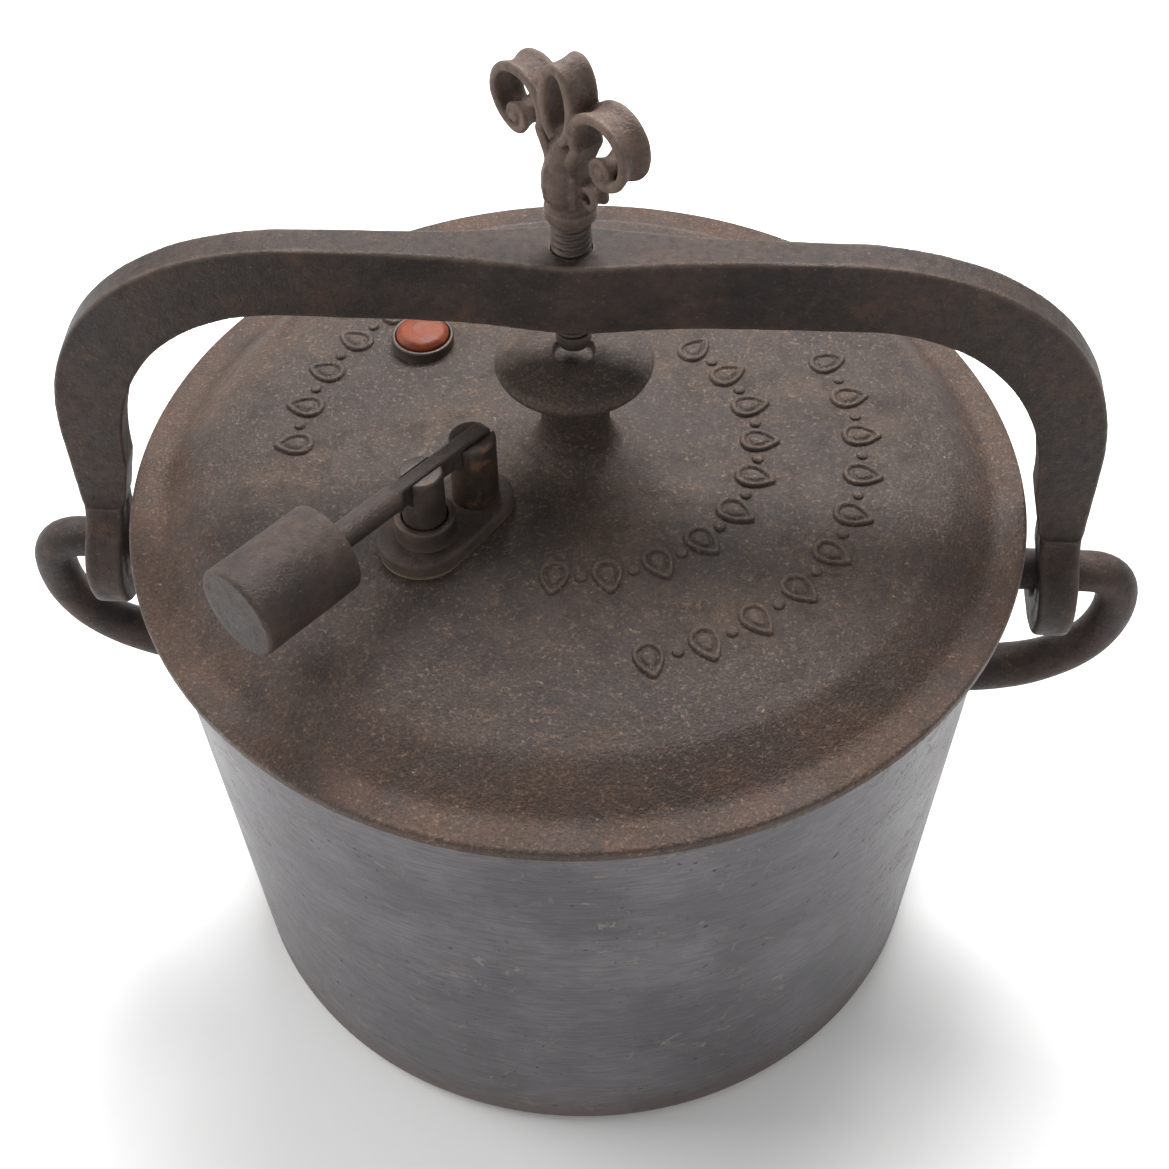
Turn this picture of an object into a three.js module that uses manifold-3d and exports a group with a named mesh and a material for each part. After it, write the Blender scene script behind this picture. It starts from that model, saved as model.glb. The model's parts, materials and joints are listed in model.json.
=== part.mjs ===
// Cast-iron pressure canner with a forged yoke, a clamp screw, a lever safety valve and a relief plug.
// Millimetres, +Z up. The origin is on the floor under the middle of the pot.
// X runs along the yoke, from ear to ear, and the yoke slides off towards -Y.
import * as THREE from 'three';
import { mergeVertices } from 'three/addons/utils/BufferGeometryUtils.js';
import Module from 'manifold-3d';

const wasm = await Module();
wasm.setup();

// ---- driving dimensions ----

const gap = 0.3;                    // clearance between pieces that touch
const ease = 0.6;                   // small chamfer on machined edges
const fine = 56;                    // facets round the large turned pieces
const coarse = 20;                  // facets round the small turned pieces

// The pot's wall leans out by its taper from the foot up to the rim.
const pot = {
  height: 197.6, topRadius: 143.6, taper: 11.6, wall: 6, floor: 8, footRounding: 6,
  rimHeight: 9, rimLip: 1.4, landWidth: 14, landDepth: 10,
};
// The ear's drops are measured from the lid's top, and its reach from the yoke's outer side.
const ear = {
  barRadius: 7.5, upperDrop: 36, lowerDrop: 91, reach: 24.7, socket: 3, cornerRun: 12, cornerDrop: 14,
};
const ring = { innerMargin: 1.5, outerMargin: 3, thickness: 1.4 };
const lid = {
  overhang: 5, flange: 4.4, flangeWidth: 11, shoulderInset: 25.5, shoulderRise: 12.6, shoulderRounding: 6,
  crown: 20, wall: 5.2, spigotDepth: 8, spigotClearance: 1, spigotWidth: 6, faceMargin: 4.2,
};
const knob = {
  radius: 25.6, top: 60, edge: 8, crownFall: 1.8, neckRadius: 11.5, baseRadius: 17,
  recessClearance: 1, recessDepth: 3, shankRadius: 6, headRadius: 9.5, headHeight: 3,
};
const washer = { radius: 12, thickness: 2.5 };
// The valve's post stands at x, y, and its plunger is one throw away along the lever's direction.
const valve = {
  x: -30, y: -30.3, turn: -129.5, throw: 22,
  plateThickness: 4.5, plateMargin: 4.5, gasketThickness: 1.2, seatEndShift: 2,
};
const post = { radius: 7.5, rise: 1.5, shankRadius: 4, slotRoom: 2.5, pinDrop: 1, nutWall: 2.5 };
const seat = {
  wall: 2.5, height: 7.6, shankRadius: 6, steamRadius: 3.5, coneRise: 2.5, coneStep: 1, nutWall: 3,
};
const plunger = { radius: 6.9, rise: 3, crestRoom: 0.4, crestFall: 1.6 };
const lever = { thickness: 5, height: 9, axisHeight: 47.5, tail: 6, flatReach: 12, endWall: 6 };
const weight = { radius: 15, start: 60, length: 36, pinRadius: 1.5, pinBite: 2.5, chamfer: 0.8 };
const pin = { radius: 1.8, facets: 16 };
const relief = {
  x: -56, y: 47, rimWidth: 1.3, height: 4.3, plugRadius: 9.1, plugRise: 3, cupDepth: 3,
  shankRadius: 7.5, steamRadius: 5.5, stem: 8, nutWall: 3.5,
};
const nut = { height: 5, threadLeft: 1.8, pocketClearance: 0.5 };
// The yoke clears the lid's edge, the knob's top and the ears' bars by its own named amounts.
const yoke = {
  knobRoom: 14, depth: 26.5, armClearance: 1.3, armWidth: 20, thickness: 12,
  bossWall: 3.95, bossHalfLength: 70, shoulderRun: 91, shoulderDrop: 80, archRun: 61, archRise: 69,
  hookWidth: 15.3, creaseRise: 23, hookBelly: 13.6, hookToe: 14, hookHeel: 11.5,
};
const screw = {
  radius: 6.25, knobRoom: 1.4, noseInset: 0.65, noseHeight: 6.6, noseFloor: 2.1, tipRadius: 3.1,
  tenonRadius: 4.4, tenonLength: 12,
};
const handle = {
  turn: -45, yokeRoom: 11.5, collarRadius: 8.2, collarHeight: 4.5,
  bulbRadius: 8.8, bulbHeight: 14, neckTop: 31,
  strapWidth: 11.5, strapThickness: 3.6, volute: 12.5, voluteReach: 17.2, voluteHeight: 33.5,
  voluteStart: 205, voluteSweep: 420, voluteWinding: 0.62, loopHalfWidth: 7.8, loopTop: 54, loopFoot: 26,
  pinRadius: 1.2,
};

// ---- colours ----

const finishes = {
  potIron: { color: 0x4a4a4c, roughness: 0.55, metalness: 0.6 },
  lidIron: { color: 0x3b322e, roughness: 0.62, metalness: 0.5 },
  forged: { color: 0x352c29, roughness: 0.58, metalness: 0.6 },
  steel: { color: 0x54483f, roughness: 0.5, metalness: 0.7 },
  rusty: { color: 0x5d3b28, roughness: 0.8, metalness: 0.3 },
  packing: { color: 0x6b6257, roughness: 0.9, metalness: 0 },
  plug: { color: 0x7a2c16, roughness: 0.3, metalness: 0 },
};

// ---- geometry helpers ----

const radians = (degrees) => degrees * Math.PI / 180;

// One closed geometry with shared vertices, no empty triangles, and its faces pointing out.
function closed(geometry) {
  const bare = geometry.clone();
  bare.deleteAttribute('normal');
  bare.deleteAttribute('uv');
  const merged = mergeVertices(bare, 1e-4);
  const index = [...merged.index.array];
  const position = merged.attributes.position;
  const [a, b, c] = [new THREE.Vector3(), new THREE.Vector3(), new THREE.Vector3()];
  const kept = [];
  let volume = 0;
  for (let i = 0; i < index.length; i += 3) {
    const [p, q, r] = index.slice(i, i + 3);
    if (p === q || q === r || r === p) continue;
    kept.push(p, q, r);
    a.fromBufferAttribute(position, p);
    b.fromBufferAttribute(position, q);
    c.fromBufferAttribute(position, r);
    volume += a.dot(b.cross(c));
  }
  merged.setIndex(volume < 0 ? kept.reverse() : kept);
  return merged;
}

function solid(geometry) {
  const { attributes, index } = closed(geometry);
  return new wasm.Manifold(new wasm.Mesh({
    numProp: 3,
    vertProperties: new Float32Array(attributes.position.array),
    triVerts: new Uint32Array(index.array),
  }));
}

function geometryOf(manifold) {
  const mesh = manifold.getMesh();
  const geometry = new THREE.BufferGeometry();
  geometry.setAttribute('position', new THREE.BufferAttribute(new Float32Array(mesh.vertProperties), 3));
  geometry.setIndex([...mesh.triVerts]);
  return geometry;
}

const cut = (body, ...tools) => tools.reduce((left, tool) => left.subtract(solid(tool)), body);
const join = (first, ...others) => others.reduce((left, other) => left.add(solid(other)), solid(first));

// A profile of [radius, height] points turned about Z.
function turned(points, segments = coarse) {
  const outline = points.map(([radius, height]) => new THREE.Vector2(radius, height));
  return new THREE.LatheGeometry(outline, segments).rotateX(Math.PI / 2);
}

// A closed ring profile turned about Z: the last point joins the first.
const turnedRing = (points, segments = coarse) => turned([...points, points[0]], segments);

function rod(radius, low, high, segments = coarse) {
  return turned([[0, low], [radius, low], [radius, high], [0, high]], segments);
}

// A rod along +X, from start to end, at the given height.
const rodAlongX = (radius, start, end, height, segments = coarse) =>
  rod(radius, start, end, segments).rotateY(Math.PI / 2).translate(0, 0, height);

// A rod along Y, centred on the XZ plane.
const rodAlongY = (radius, length, height, segments = coarse) =>
  rod(radius, -length / 2, length / 2, segments).rotateX(Math.PI / 2).translate(0, 0, height);

function outlined(points) {
  const shape = new THREE.Shape();
  points.forEach(([x, y], i) => (i ? shape.lineTo(x, y) : shape.moveTo(x, y)));
  shape.closePath();
  return shape;
}

const extruded = (shape, depth, curveSegments = 10) =>
  new THREE.ExtrudeGeometry(shape, { depth, bevelEnabled: false, curveSegments });

// A shape drawn in X and Z, centred on the XZ plane and as deep as given along Y.
const upright = (shape, depth, curveSegments = 10) =>
  extruded(shape, depth, curveSegments).rotateX(Math.PI / 2).translate(0, depth / 2, 0);

// A shape drawn in X and Y, from low to high.
const level = (shape, low, high, curveSegments = 10) =>
  extruded(shape, high - low, curveSegments).translate(0, 0, low);

function box(x0, x1, y0, y1, z0, z1) {
  return level(outlined([[x0, y0], [x1, y0], [x1, y1], [x0, y1]]), z0, z1);
}

// A hexagonal nut on the Z axis: flats measures it across its flats.
function hexNut(flats, holeRadius, low, high) {
  const corner = flats / Math.sqrt(3);
  const hexagon = outlined(Array.from({ length: 6 }, (_, i) =>
    [corner * Math.cos(radians(60 * i)), corner * Math.sin(radians(60 * i))]));
  hexagon.holes.push(new THREE.Path().absarc(0, 0, holeRadius, 0, 2 * Math.PI, true));
  return level(hexagon, low, high);
}

// Two round ends joined by straight sides, along +X, each end with its own radius.
function taperedStadium(x0, r0, x1, r1) {
  const lean = Math.asin((r1 - r0) / (x1 - x0));
  const shape = new THREE.Shape();
  shape.absarc(x1, 0, r1, -Math.PI / 2 - lean, Math.PI / 2 + lean, false);
  shape.absarc(x0, 0, r0, Math.PI / 2 + lean, 3 * Math.PI / 2 - lean, false);
  shape.closePath();
  return shape;
}

function piece(name, finish, shape) {
  const geometry = closed(shape instanceof THREE.BufferGeometry ? shape : geometryOf(shape)).toNonIndexed();
  geometry.computeVertexNormals();
  const mesh = new THREE.Mesh(geometry, new THREE.MeshStandardMaterial(finishes[finish]));
  mesh.name = name;
  return mesh;
}

// ---- sizes and heights that several pieces share ----

const rimRadius = pot.topRadius + pot.rimLip;
const landRadius = rimRadius - pot.landWidth;
const footRadius = pot.topRadius - pot.taper;
const topOfWall = pot.height - pot.rimHeight;
const potSlope = pot.taper / (topOfWall - pot.footRounding);
const potRadiusAt = (height) => footRadius + potSlope * (height - pot.footRounding);

const lidRadius = rimRadius + lid.overhang;
const ringBottom = pot.height + gap;
const lidUnderside = ringBottom + ring.thickness + gap;
const lidTop = lidUnderside + lid.flange;            // everything on the lid is measured from here

// The lid's crown falls off gently from its middle, as the square of the radius.
const shoulderRadius = lidRadius - lid.shoulderInset;
const shoulderTop = shoulderRadius - lid.shoulderRounding;
const shoulderLift = 2.6;
const crownFall = lid.crown - lid.shoulderRise - shoulderLift;
const crownAt = (radius) => lid.crown - crownFall * (radius / shoulderTop) ** 2;

// The lid is flat inside as far out as the nuts reach.
const nutFlats = ({ shankRadius, nutWall }) => 2 * (shankRadius + nutWall);
const nutReach = (piece) => nutFlats(piece) / Math.sqrt(3);
const postDistance = Math.hypot(valve.x, valve.y);
const reliefDistance = Math.hypot(relief.x, relief.y);
const faceRadius = lid.faceMargin
  + Math.max(reliefDistance + nutReach(relief), postDistance + valve.throw + nutReach(seat));
const undersideFace = crownAt(faceRadius) - lid.wall;
const nutTop = undersideFace - gap;
const shankFoot = nutTop - nut.height - nut.threadLeft;

const seatRadius = plunger.radius + gap + seat.wall;
const postEnd = post.radius + valve.plateMargin;
const seatEnd = seatRadius + valve.plateMargin;
const reliefRadius = relief.plugRadius + gap + relief.rimWidth;

const bedding = 0.2;                                 // pieces on the crown are let in by at least this much
const plateSeat = crownAt(valve.throw + postDistance + seatEnd) - bedding;
const plateBottom = plateSeat + gap + valve.gasketThickness + gap;
const plateTop = plateBottom + valve.plateThickness;
const seatFoot = plateTop + gap;
const coneFoot = seatFoot + seat.coneStep;
const reliefSeatHeight = crownAt(reliefDistance + reliefRadius) - bedding / 2;
const reliefFoot = reliefSeatHeight + gap;
const knobSeat = crownAt(knob.baseRadius) - bedding;

const leverBottom = lever.axisHeight - lever.height / 2;
const pinHeight = lever.axisHeight - post.pinDrop;
const rodRadius = lever.height / 2 - 0.1;
const weightPinX = weight.start + weight.length / 2;

const yokeUnderside = knob.top + yoke.knobRoom;
const yokeTop = yokeUnderside + yoke.depth;
const yokeOuter = lidRadius + yoke.armClearance + yoke.armWidth;
const yokeBoss = 2 * (screw.radius + gap + yoke.bossWall);
const earBarHeight = -ear.upperDrop;
const hookCrease = earBarHeight + yoke.creaseRise;
const armFoot = hookCrease - 1;

const noseRadius = screw.radius - screw.noseInset;
const noseBottom = knob.top + screw.knobRoom;
const noseTop = noseBottom + screw.noseHeight;
const noseBore = noseBottom + screw.noseFloor;
const handleFoot = yokeTop + handle.yokeRoom;
const handlePinHeight = handleFoot + handle.collarHeight / 2;

// ---- pot ----

function potBody() {
  const innerAt = (height) => potRadiusAt(height) - pot.wall;
  const body = solid(turned([
    [0, 0],
    [footRadius - pot.footRounding, 0],
    [footRadius - pot.footRounding * 0.3, pot.footRounding * 0.3],
    [footRadius, pot.footRounding],
    [pot.topRadius, topOfWall],
    [rimRadius, topOfWall + 1.2],
    [rimRadius, pot.height - 0.8],
    [rimRadius - 0.8, pot.height],
    [landRadius, pot.height],
    [landRadius, pot.height - pot.landDepth],
    [innerAt(topOfWall - pot.landDepth), topOfWall - pot.landDepth],
    [innerAt(pot.floor + 14), pot.floor + 14],
    [innerAt(pot.floor) - 5, pot.floor + 4],
    [innerAt(pot.floor) - 16, pot.floor],
    [0, pot.floor],
  ], fine));
  const sockets = [];
  for (const side of [-1, 1]) {
    for (const drop of [ear.upperDrop, ear.lowerDrop]) {
      const height = lidTop - drop;
      const depth = potRadiusAt(height) - ear.socket - gap;
      const socket = rodAlongX(ear.barRadius + gap, depth, rimRadius + ear.barRadius, height, coarse);
      sockets.push(side > 0 ? socket : socket.rotateZ(Math.PI));
    }
  }
  return piece('pot_body', 'potIron', cut(body, ...sockets));
}

// A round bar leaves the wall level, turns tightly down, and sweeps back into the wall.
function earBar(name, side) {
  const at = (x, drop) => new THREE.Vector3(x, 0, lidTop - drop);
  const upperStart = potRadiusAt(lidTop - ear.upperDrop) - ear.socket;
  const lowerEnd = potRadiusAt(lidTop - ear.lowerDrop) - ear.socket;
  const outer = yokeOuter + ear.reach - ear.barRadius;
  const corner = ear.upperDrop + ear.cornerDrop;
  const leg = ear.lowerDrop - corner;
  const sweep = outer - lowerEnd;
  const path = new THREE.CurvePath();
  path.add(new THREE.LineCurve3(at(upperStart, ear.upperDrop), at(outer - ear.cornerRun, ear.upperDrop)));
  path.add(new THREE.CubicBezierCurve3(
    at(outer - ear.cornerRun, ear.upperDrop), at(outer - ear.cornerRun / 3, ear.upperDrop),
    at(outer, ear.upperDrop + ear.cornerDrop / 3), at(outer, corner)));
  path.add(new THREE.CubicBezierCurve3(
    at(outer, corner), at(outer, corner + 0.68 * leg),
    at(lowerEnd + 0.6 * sweep, ear.lowerDrop), at(lowerEnd, ear.lowerDrop)));
  const section = new THREE.Shape().absarc(0, 0, ear.barRadius, 0, 2 * Math.PI, false);
  const bar = new THREE.ExtrudeGeometry(section, {
    extrudePath: path, steps: 24, curveSegments: 6, bevelEnabled: false,
  });
  const mesh = piece(name, 'forged', bar);
  mesh.rotation.z = side > 0 ? 0 : Math.PI;
  return mesh;
}

// ---- lid ----

function lidCasting() {
  const spigotRadius = landRadius - lid.spigotClearance;
  const spigotFoot = -lid.flange - lid.spigotDepth;
  const flangeInner = lidRadius - lid.flangeWidth;
  const inner = spigotRadius - lid.spigotWidth;
  const crownRadii = [0.35, 0.7, 1].map((share) => share * shoulderTop);
  const shell = solid(turned([
    [0, undersideFace],
    [faceRadius, undersideFace],
    [shoulderTop - 4, crownAt(shoulderTop) - lid.wall - 1],
    [inner - 1, lid.shoulderRise * 0.35],
    [inner, -lid.flange],
    [inner, spigotFoot],
    [spigotRadius - 1, spigotFoot],
    [spigotRadius, spigotFoot + 1],
    [spigotRadius, -lid.flange],
    [lidRadius - ease, -lid.flange],
    [lidRadius, ease - lid.flange],
    [lidRadius, -ease],
    [lidRadius - ease, 0],
    [flangeInner, 0],
    [flangeInner - 2, 0.5],
    [flangeInner - 4, 2],
    [shoulderRadius + 3.5, lid.shoulderRise - 3.1],
    [shoulderRadius, lid.shoulderRise],
    [shoulderRadius - 3, lid.shoulderRise + 1.7],
    ...crownRadii.toReversed().map((r) => [r, crownAt(r)]),
    [0, lid.crown],
  ], fine));
  const spread = nut.pocketClearance;
  const inValveFrame = (geometry) => geometry.rotateZ(radians(valve.turn)).translate(valve.x, valve.y, 0);
  return piece('lid_casting', 'lidIron', cut(shell,
    rod(knob.shankRadius + gap, 0, lid.crown + 1),
    rod(knob.baseRadius + spread, knobSeat, lid.crown + 1, 32),
    inValveFrame(level(plateOutline(spread), plateSeat, lid.crown + 1)),
    inValveFrame(rod(post.shankRadius + gap, 0, lid.crown + 1)),
    inValveFrame(rod(seat.shankRadius + gap, 0, lid.crown + 1).translate(valve.throw, 0, 0)),
    rod(reliefRadius + spread, reliefSeatHeight, lid.crown + 1).translate(relief.x, relief.y, 0),
    rod(relief.shankRadius + gap, 0, lid.crown + 1).translate(relief.x, relief.y, 0),
  ));
}

function sealingRing() {
  const bottom = ringBottom - lidTop;
  const top = bottom + ring.thickness;
  const inner = landRadius + ring.innerMargin;
  const outer = rimRadius - ring.outerMargin;
  return piece('sealing_ring', 'packing', turnedRing([
    [inner, bottom], [outer, bottom], [outer, top], [inner, top],
  ], fine));
}

// A mushroom that takes the screw's thrust. Its shank goes through the lid and is headed over a washer.
function pressingKnob() {
  const foot = knobSeat + gap;
  const headTop = nutTop - washer.thickness - gap;
  const edgeMiddle = knob.top - knob.edge / 2;
  const underside = knob.top - knob.edge;
  const recessRadius = noseRadius + knob.recessClearance;
  return piece('pressing_knob', 'lidIron', turned([
    [0, headTop - knob.headHeight],
    [knob.headRadius - 2, headTop - knob.headHeight],
    [knob.headRadius, headTop - 1],
    [knob.headRadius, headTop],
    [knob.shankRadius, headTop],
    [knob.shankRadius, foot],
    [knob.baseRadius, foot],
    [knob.baseRadius - 2.5, foot + 1.6],
    [knob.neckRadius + 1, foot + 4.5],
    [knob.neckRadius, foot + 9],
    [knob.neckRadius, foot + 17],
    [knob.neckRadius + 1.6, underside - 4],
    [knob.neckRadius + 5, underside - 1],
    [knob.radius - 3, underside + 0.6],
    [knob.radius - 0.8, underside + 2],
    [knob.radius, edgeMiddle],
    [knob.radius - 0.9, edgeMiddle + 1.5],
    [knob.radius - 2.6, knob.top - knob.crownFall],
    [knob.radius * 0.66, knob.top - knob.crownFall * 0.45],
    [recessRadius + 1, knob.top - 0.1],
    [recessRadius, knob.top - 0.4],
    [recessRadius - 0.6, knob.top - knob.recessDepth],
    [0, knob.top - knob.recessDepth],
  ], 32));
}

function knobWasher() {
  const bottom = nutTop - washer.thickness;
  const bore = knob.shankRadius + gap;
  return piece('knob_washer', 'steel', turnedRing([
    [bore, bottom], [washer.radius, bottom], [washer.radius, nutTop], [bore, nutTop],
  ]));
}

// ---- lever safety valve, drawn with its post on the Z axis and its lever along +X ----

const plateOutline = (spread = 0) => taperedStadium(
  0, postEnd + spread, valve.throw + valve.seatEndShift, seatEnd + spread);

function valvePlate() {
  const plate = solid(level(plateOutline(), plateBottom, plateTop));
  return piece('valve_plate', 'forged', cut(plate,
    rod(post.shankRadius + gap, plateBottom - 1, plateTop + 1),
    rod(seat.shankRadius + gap, plateBottom - 1, plateTop + 1).translate(valve.throw, 0, 0),
  ));
}

function plateGasket() {
  const bottom = plateSeat + gap;
  const top = bottom + valve.gasketThickness;
  const sheet = solid(level(plateOutline(-gap), bottom, top));
  return piece('plate_gasket', 'packing', cut(sheet,
    rod(post.shankRadius + gap, bottom - 1, top + 1),
    rod(seat.shankRadius + gap, bottom - 1, top + 1).translate(valve.throw, 0, 0),
  ));
}

// A slotted post for the lever's fulcrum. Its shank goes through the plate and the lid to a nut.
function fulcrumPost() {
  const foot = plateTop + gap;
  const top = lever.axisHeight + post.rise;
  const body = solid(turned([
    [0, shankFoot], [post.shankRadius, shankFoot], [post.shankRadius, foot], [post.radius, foot],
    [post.radius, top - ease], [post.radius - ease, top], [0, top],
  ]));
  const half = lever.thickness / 2 + gap;
  return piece('fulcrum_post', 'rusty', cut(body,
    box(-post.radius - 1, post.radius + 1, -half, half, leverBottom - post.slotRoom, top + 1),
    rodAlongY(pin.radius + gap, 2 * post.radius + 2, pinHeight, pin.facets),
  ));
}

function fulcrumPin() {
  return piece('fulcrum_pin', 'steel', rodAlongY(pin.radius, 2 * post.radius, pinHeight, pin.facets));
}

function valveSeat() {
  const top = seatFoot + seat.height;
  const bore = plunger.radius + gap;
  return piece('valve_seat', 'steel', turnedRing([
    [seat.steamRadius, shankFoot], [seat.shankRadius, shankFoot], [seat.shankRadius, seatFoot],
    [seatRadius, seatFoot], [seatRadius, top - ease], [seatRadius - ease, top],
    [bore + ease, top], [bore, top - ease], [bore, coneFoot + seat.coneRise], [seat.steamRadius, coneFoot],
  ]));
}

// The plunger's slot has a crowned floor, so that the lever rocks on it as it lifts.
function valvePlunger() {
  const cone = coneFoot + 2 * gap;
  const top = lever.axisHeight + plunger.rise;
  const crest = leverBottom - plunger.crestRoom;
  const body = solid(turned([
    [0, cone], [seat.steamRadius - gap, cone], [plunger.radius, cone + seat.coneRise],
    [plunger.radius, top - ease], [plunger.radius - ease, top], [0, top],
  ]));
  const reach = plunger.radius + 1;
  const slot = upright(outlined([
    [-reach, top + 1], [-reach, crest - plunger.crestFall], [0, crest],
    [reach, crest - plunger.crestFall], [reach, top + 1],
  ]), lever.thickness + 2 * gap);
  return piece('valve_plunger', 'steel', cut(body, slot));
}

// A flat bar through both slots, drawn out to a round rod that carries the weight.
function leverArm() {
  const top = leverBottom + lever.height;
  const flatEnd = valve.throw + lever.flatReach;
  const corner = 2;
  const flat = upright(outlined([
    [-lever.tail, leverBottom + corner], [-lever.tail + corner, leverBottom], [flatEnd, leverBottom],
    [flatEnd, top], [-lever.tail + corner, top], [-lever.tail, top - corner],
  ]), lever.thickness);
  const rodEnd = weight.start + weight.length - lever.endWall;
  const shaft = rodAlongX(rodRadius, flatEnd - corner, rodEnd, lever.axisHeight);
  const pinHole = rodAlongY(pin.radius + gap, lever.thickness + 2, pinHeight, pin.facets);
  const bite = leverBottom + weight.pinBite + gap;
  const weightPinHole = rod(weight.pinRadius + gap, leverBottom - 1, bite, pin.facets)
    .translate(weightPinX, 0, 0);
  return piece('lever_arm', 'forged', cut(join(flat, shaft), pinHole, weightPinHole));
}

function leverWeight() {
  const { start, length, radius, chamfer } = weight;
  const end = start + length;
  const body = solid(turned([
    [0, start], [radius - chamfer, start], [radius, start + chamfer], [radius, end - chamfer],
    [radius - chamfer, end], [0, end],
  ], 28).rotateY(Math.PI / 2).translate(0, 0, lever.axisHeight));
  const pinHole = rod(weight.pinRadius + gap, lever.axisHeight - radius - 1, lever.axisHeight, pin.facets);
  return piece('lever_weight', 'forged', cut(body,
    rodAlongX(rodRadius + gap, start - 1, end - lever.endWall + gap, lever.axisHeight),
    pinHole.translate(weightPinX, 0, 0),
  ));
}

function weightPin() {
  const foot = lever.axisHeight - weight.radius + gap;
  return piece('weight_pin', 'steel',
    rod(weight.pinRadius, foot, leverBottom + weight.pinBite, pin.facets).translate(weightPinX, 0, 0));
}

// ---- relief plug, drawn on the Z axis ----

function reliefSeat() {
  const top = reliefFoot + relief.height;
  const cup = relief.plugRadius + gap;
  return piece('relief_seat', 'steel', turnedRing([
    [relief.steamRadius, shankFoot], [relief.shankRadius, shankFoot], [relief.shankRadius, reliefFoot],
    [reliefRadius, reliefFoot], [reliefRadius, top - ease], [reliefRadius - ease, top],
    [cup, top], [cup, top - relief.cupDepth], [relief.steamRadius, top - relief.cupDepth],
  ], 24));
}

function reliefPlug() {
  const top = reliefFoot + relief.height;
  const disc = top - relief.cupDepth + gap;
  const stemRadius = relief.steamRadius - gap;
  return piece('relief_plug', 'plug', turned([
    [0, disc - relief.stem], [stemRadius - 1, disc - relief.stem], [stemRadius, disc - relief.stem + 2],
    [stemRadius, disc], [relief.plugRadius, disc], [relief.plugRadius, top + ease],
    [relief.plugRadius * 0.9, top + relief.plugRise * 0.55],
    [relief.plugRadius * 0.62, top + relief.plugRise * 0.88],
    [0, top + relief.plugRise],
  ], 24));
}

// ---- yoke, drawn from the lid's top height ----

// Half of the front outline is drawn at +X and mirrored: a level bar with two bowed arms.
function yokeFront() {
  const outer = yokeOuter;
  const inner = outer - yoke.armWidth;
  const { shoulderRun, shoulderDrop, archRun, archRise } = yoke;
  const shape = new THREE.Shape();
  shape.moveTo(0, yokeTop);
  shape.lineTo(outer - shoulderRun, yokeTop);
  shape.bezierCurveTo(outer - 0.45 * shoulderRun, yokeTop, outer, yokeTop - 0.31 * shoulderDrop,
    outer, yokeTop - shoulderDrop);
  shape.lineTo(outer, armFoot);
  shape.lineTo(outer - yoke.hookWidth, armFoot);
  shape.lineTo(inner, yokeUnderside - archRise);
  shape.bezierCurveTo(inner, yokeUnderside - 0.32 * archRise, inner - 0.48 * archRun, yokeUnderside,
    inner - archRun, yokeUnderside);
  shape.lineTo(0, yokeUnderside);
  const right = shape.getPoints(10);
  const left = right.slice(1, -1).reverse().map((point) => new THREE.Vector2(-point.x, point.y));
  return new THREE.Shape([...right, ...left]);
}

// Seen from above: a plain bar that swells to a boss round the screw.
function yokePlan() {
  const half = yoke.thickness / 2;
  const boss = yokeBoss / 2;
  const run = yoke.bossHalfLength;
  const end = yokeOuter + 1;
  const edge = new THREE.Shape();
  edge.moveTo(end, half);
  edge.lineTo(run, half);
  edge.bezierCurveTo(run * 0.55, half, run * 0.45, boss, 0, boss);
  const corner = edge.getPoints(8);
  const flip = (points, sx, sy) => points.map((point) => new THREE.Vector2(point.x * sx, point.y * sy));
  return new THREE.Shape([
    ...corner,
    ...flip(corner, -1, 1).reverse().slice(1),
    ...flip(corner, -1, -1),
    ...flip(corner, 1, -1).reverse().slice(1),
  ]);
}

// The hook seen from the side, drawn with its back towards +X: it passes in front of the ear and under it.
function hookSide() {
  const half = yoke.thickness / 2;
  const throat = -ear.barRadius - 3 * gap;
  const belly = throat - yoke.hookBelly;
  const heel = ear.barRadius + yoke.hookHeel;
  const barTop = earBarHeight + ear.barRadius;
  const barFoot = earBarHeight - ear.barRadius;
  const bottom = barFoot - yoke.hookToe;
  const heelRounding = 5;
  const shape = new THREE.Shape();
  shape.moveTo(half, hookCrease + 3);
  shape.lineTo(-half - 1, hookCrease + 3);
  shape.lineTo(-half - 1.4, hookCrease);
  shape.bezierCurveTo(-half - 3, hookCrease - 9, belly, hookCrease - 11, belly, earBarHeight - 2);
  shape.bezierCurveTo(belly, earBarHeight - 14, belly + 8, bottom, belly + 20, bottom);
  shape.lineTo(heel - heelRounding, bottom);
  shape.quadraticCurveTo(heel, bottom, heel, bottom + heelRounding);
  shape.lineTo(heel, barFoot - gap);
  shape.lineTo(throat, barFoot - gap);
  shape.lineTo(throat, barTop - 1);
  shape.lineTo(-half + 1, barTop + 4);
  shape.lineTo(half, barTop + 7);
  shape.closePath();
  return shape;
}

function yokeBar() {
  const inside = yokeOuter - yoke.hookWidth;
  const bow = solid(upright(yokeFront(), yokeBoss + 2));
  const plan = solid(level(yokePlan(), armFoot - 1, yokeTop + 1));
  const hook = (x0, x1) => extruded(hookSide(), x1 - x0, 8).rotateX(Math.PI / 2).rotateZ(Math.PI / 2)
    .translate(x0, 0, 0);
  const hooks = solid(hook(inside, yokeOuter)).add(solid(hook(-yokeOuter, -inside)));
  const forged = bow.intersect(plan).add(hooks);
  return piece('yoke_bar', 'forged', cut(forged, rod(screw.radius + gap, yokeUnderside - 1, yokeTop + 1)));
}

// ---- clamp screw, on the Z axis and measured from the lid's top height ----

// A loose cap on the screw's tip, which stays still on the knob while the screw turns.
function screwNose() {
  const bore = screw.tipRadius + gap;
  return piece('screw_nose', 'steel', turned([
    [0, noseBottom], [noseRadius - 2.2, noseBottom], [noseRadius - ease, noseBottom + 1.2],
    [noseRadius, noseBottom + 3.4], [noseRadius, noseTop], [bore, noseTop], [bore, noseBore], [0, noseBore],
  ]));
}

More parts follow.
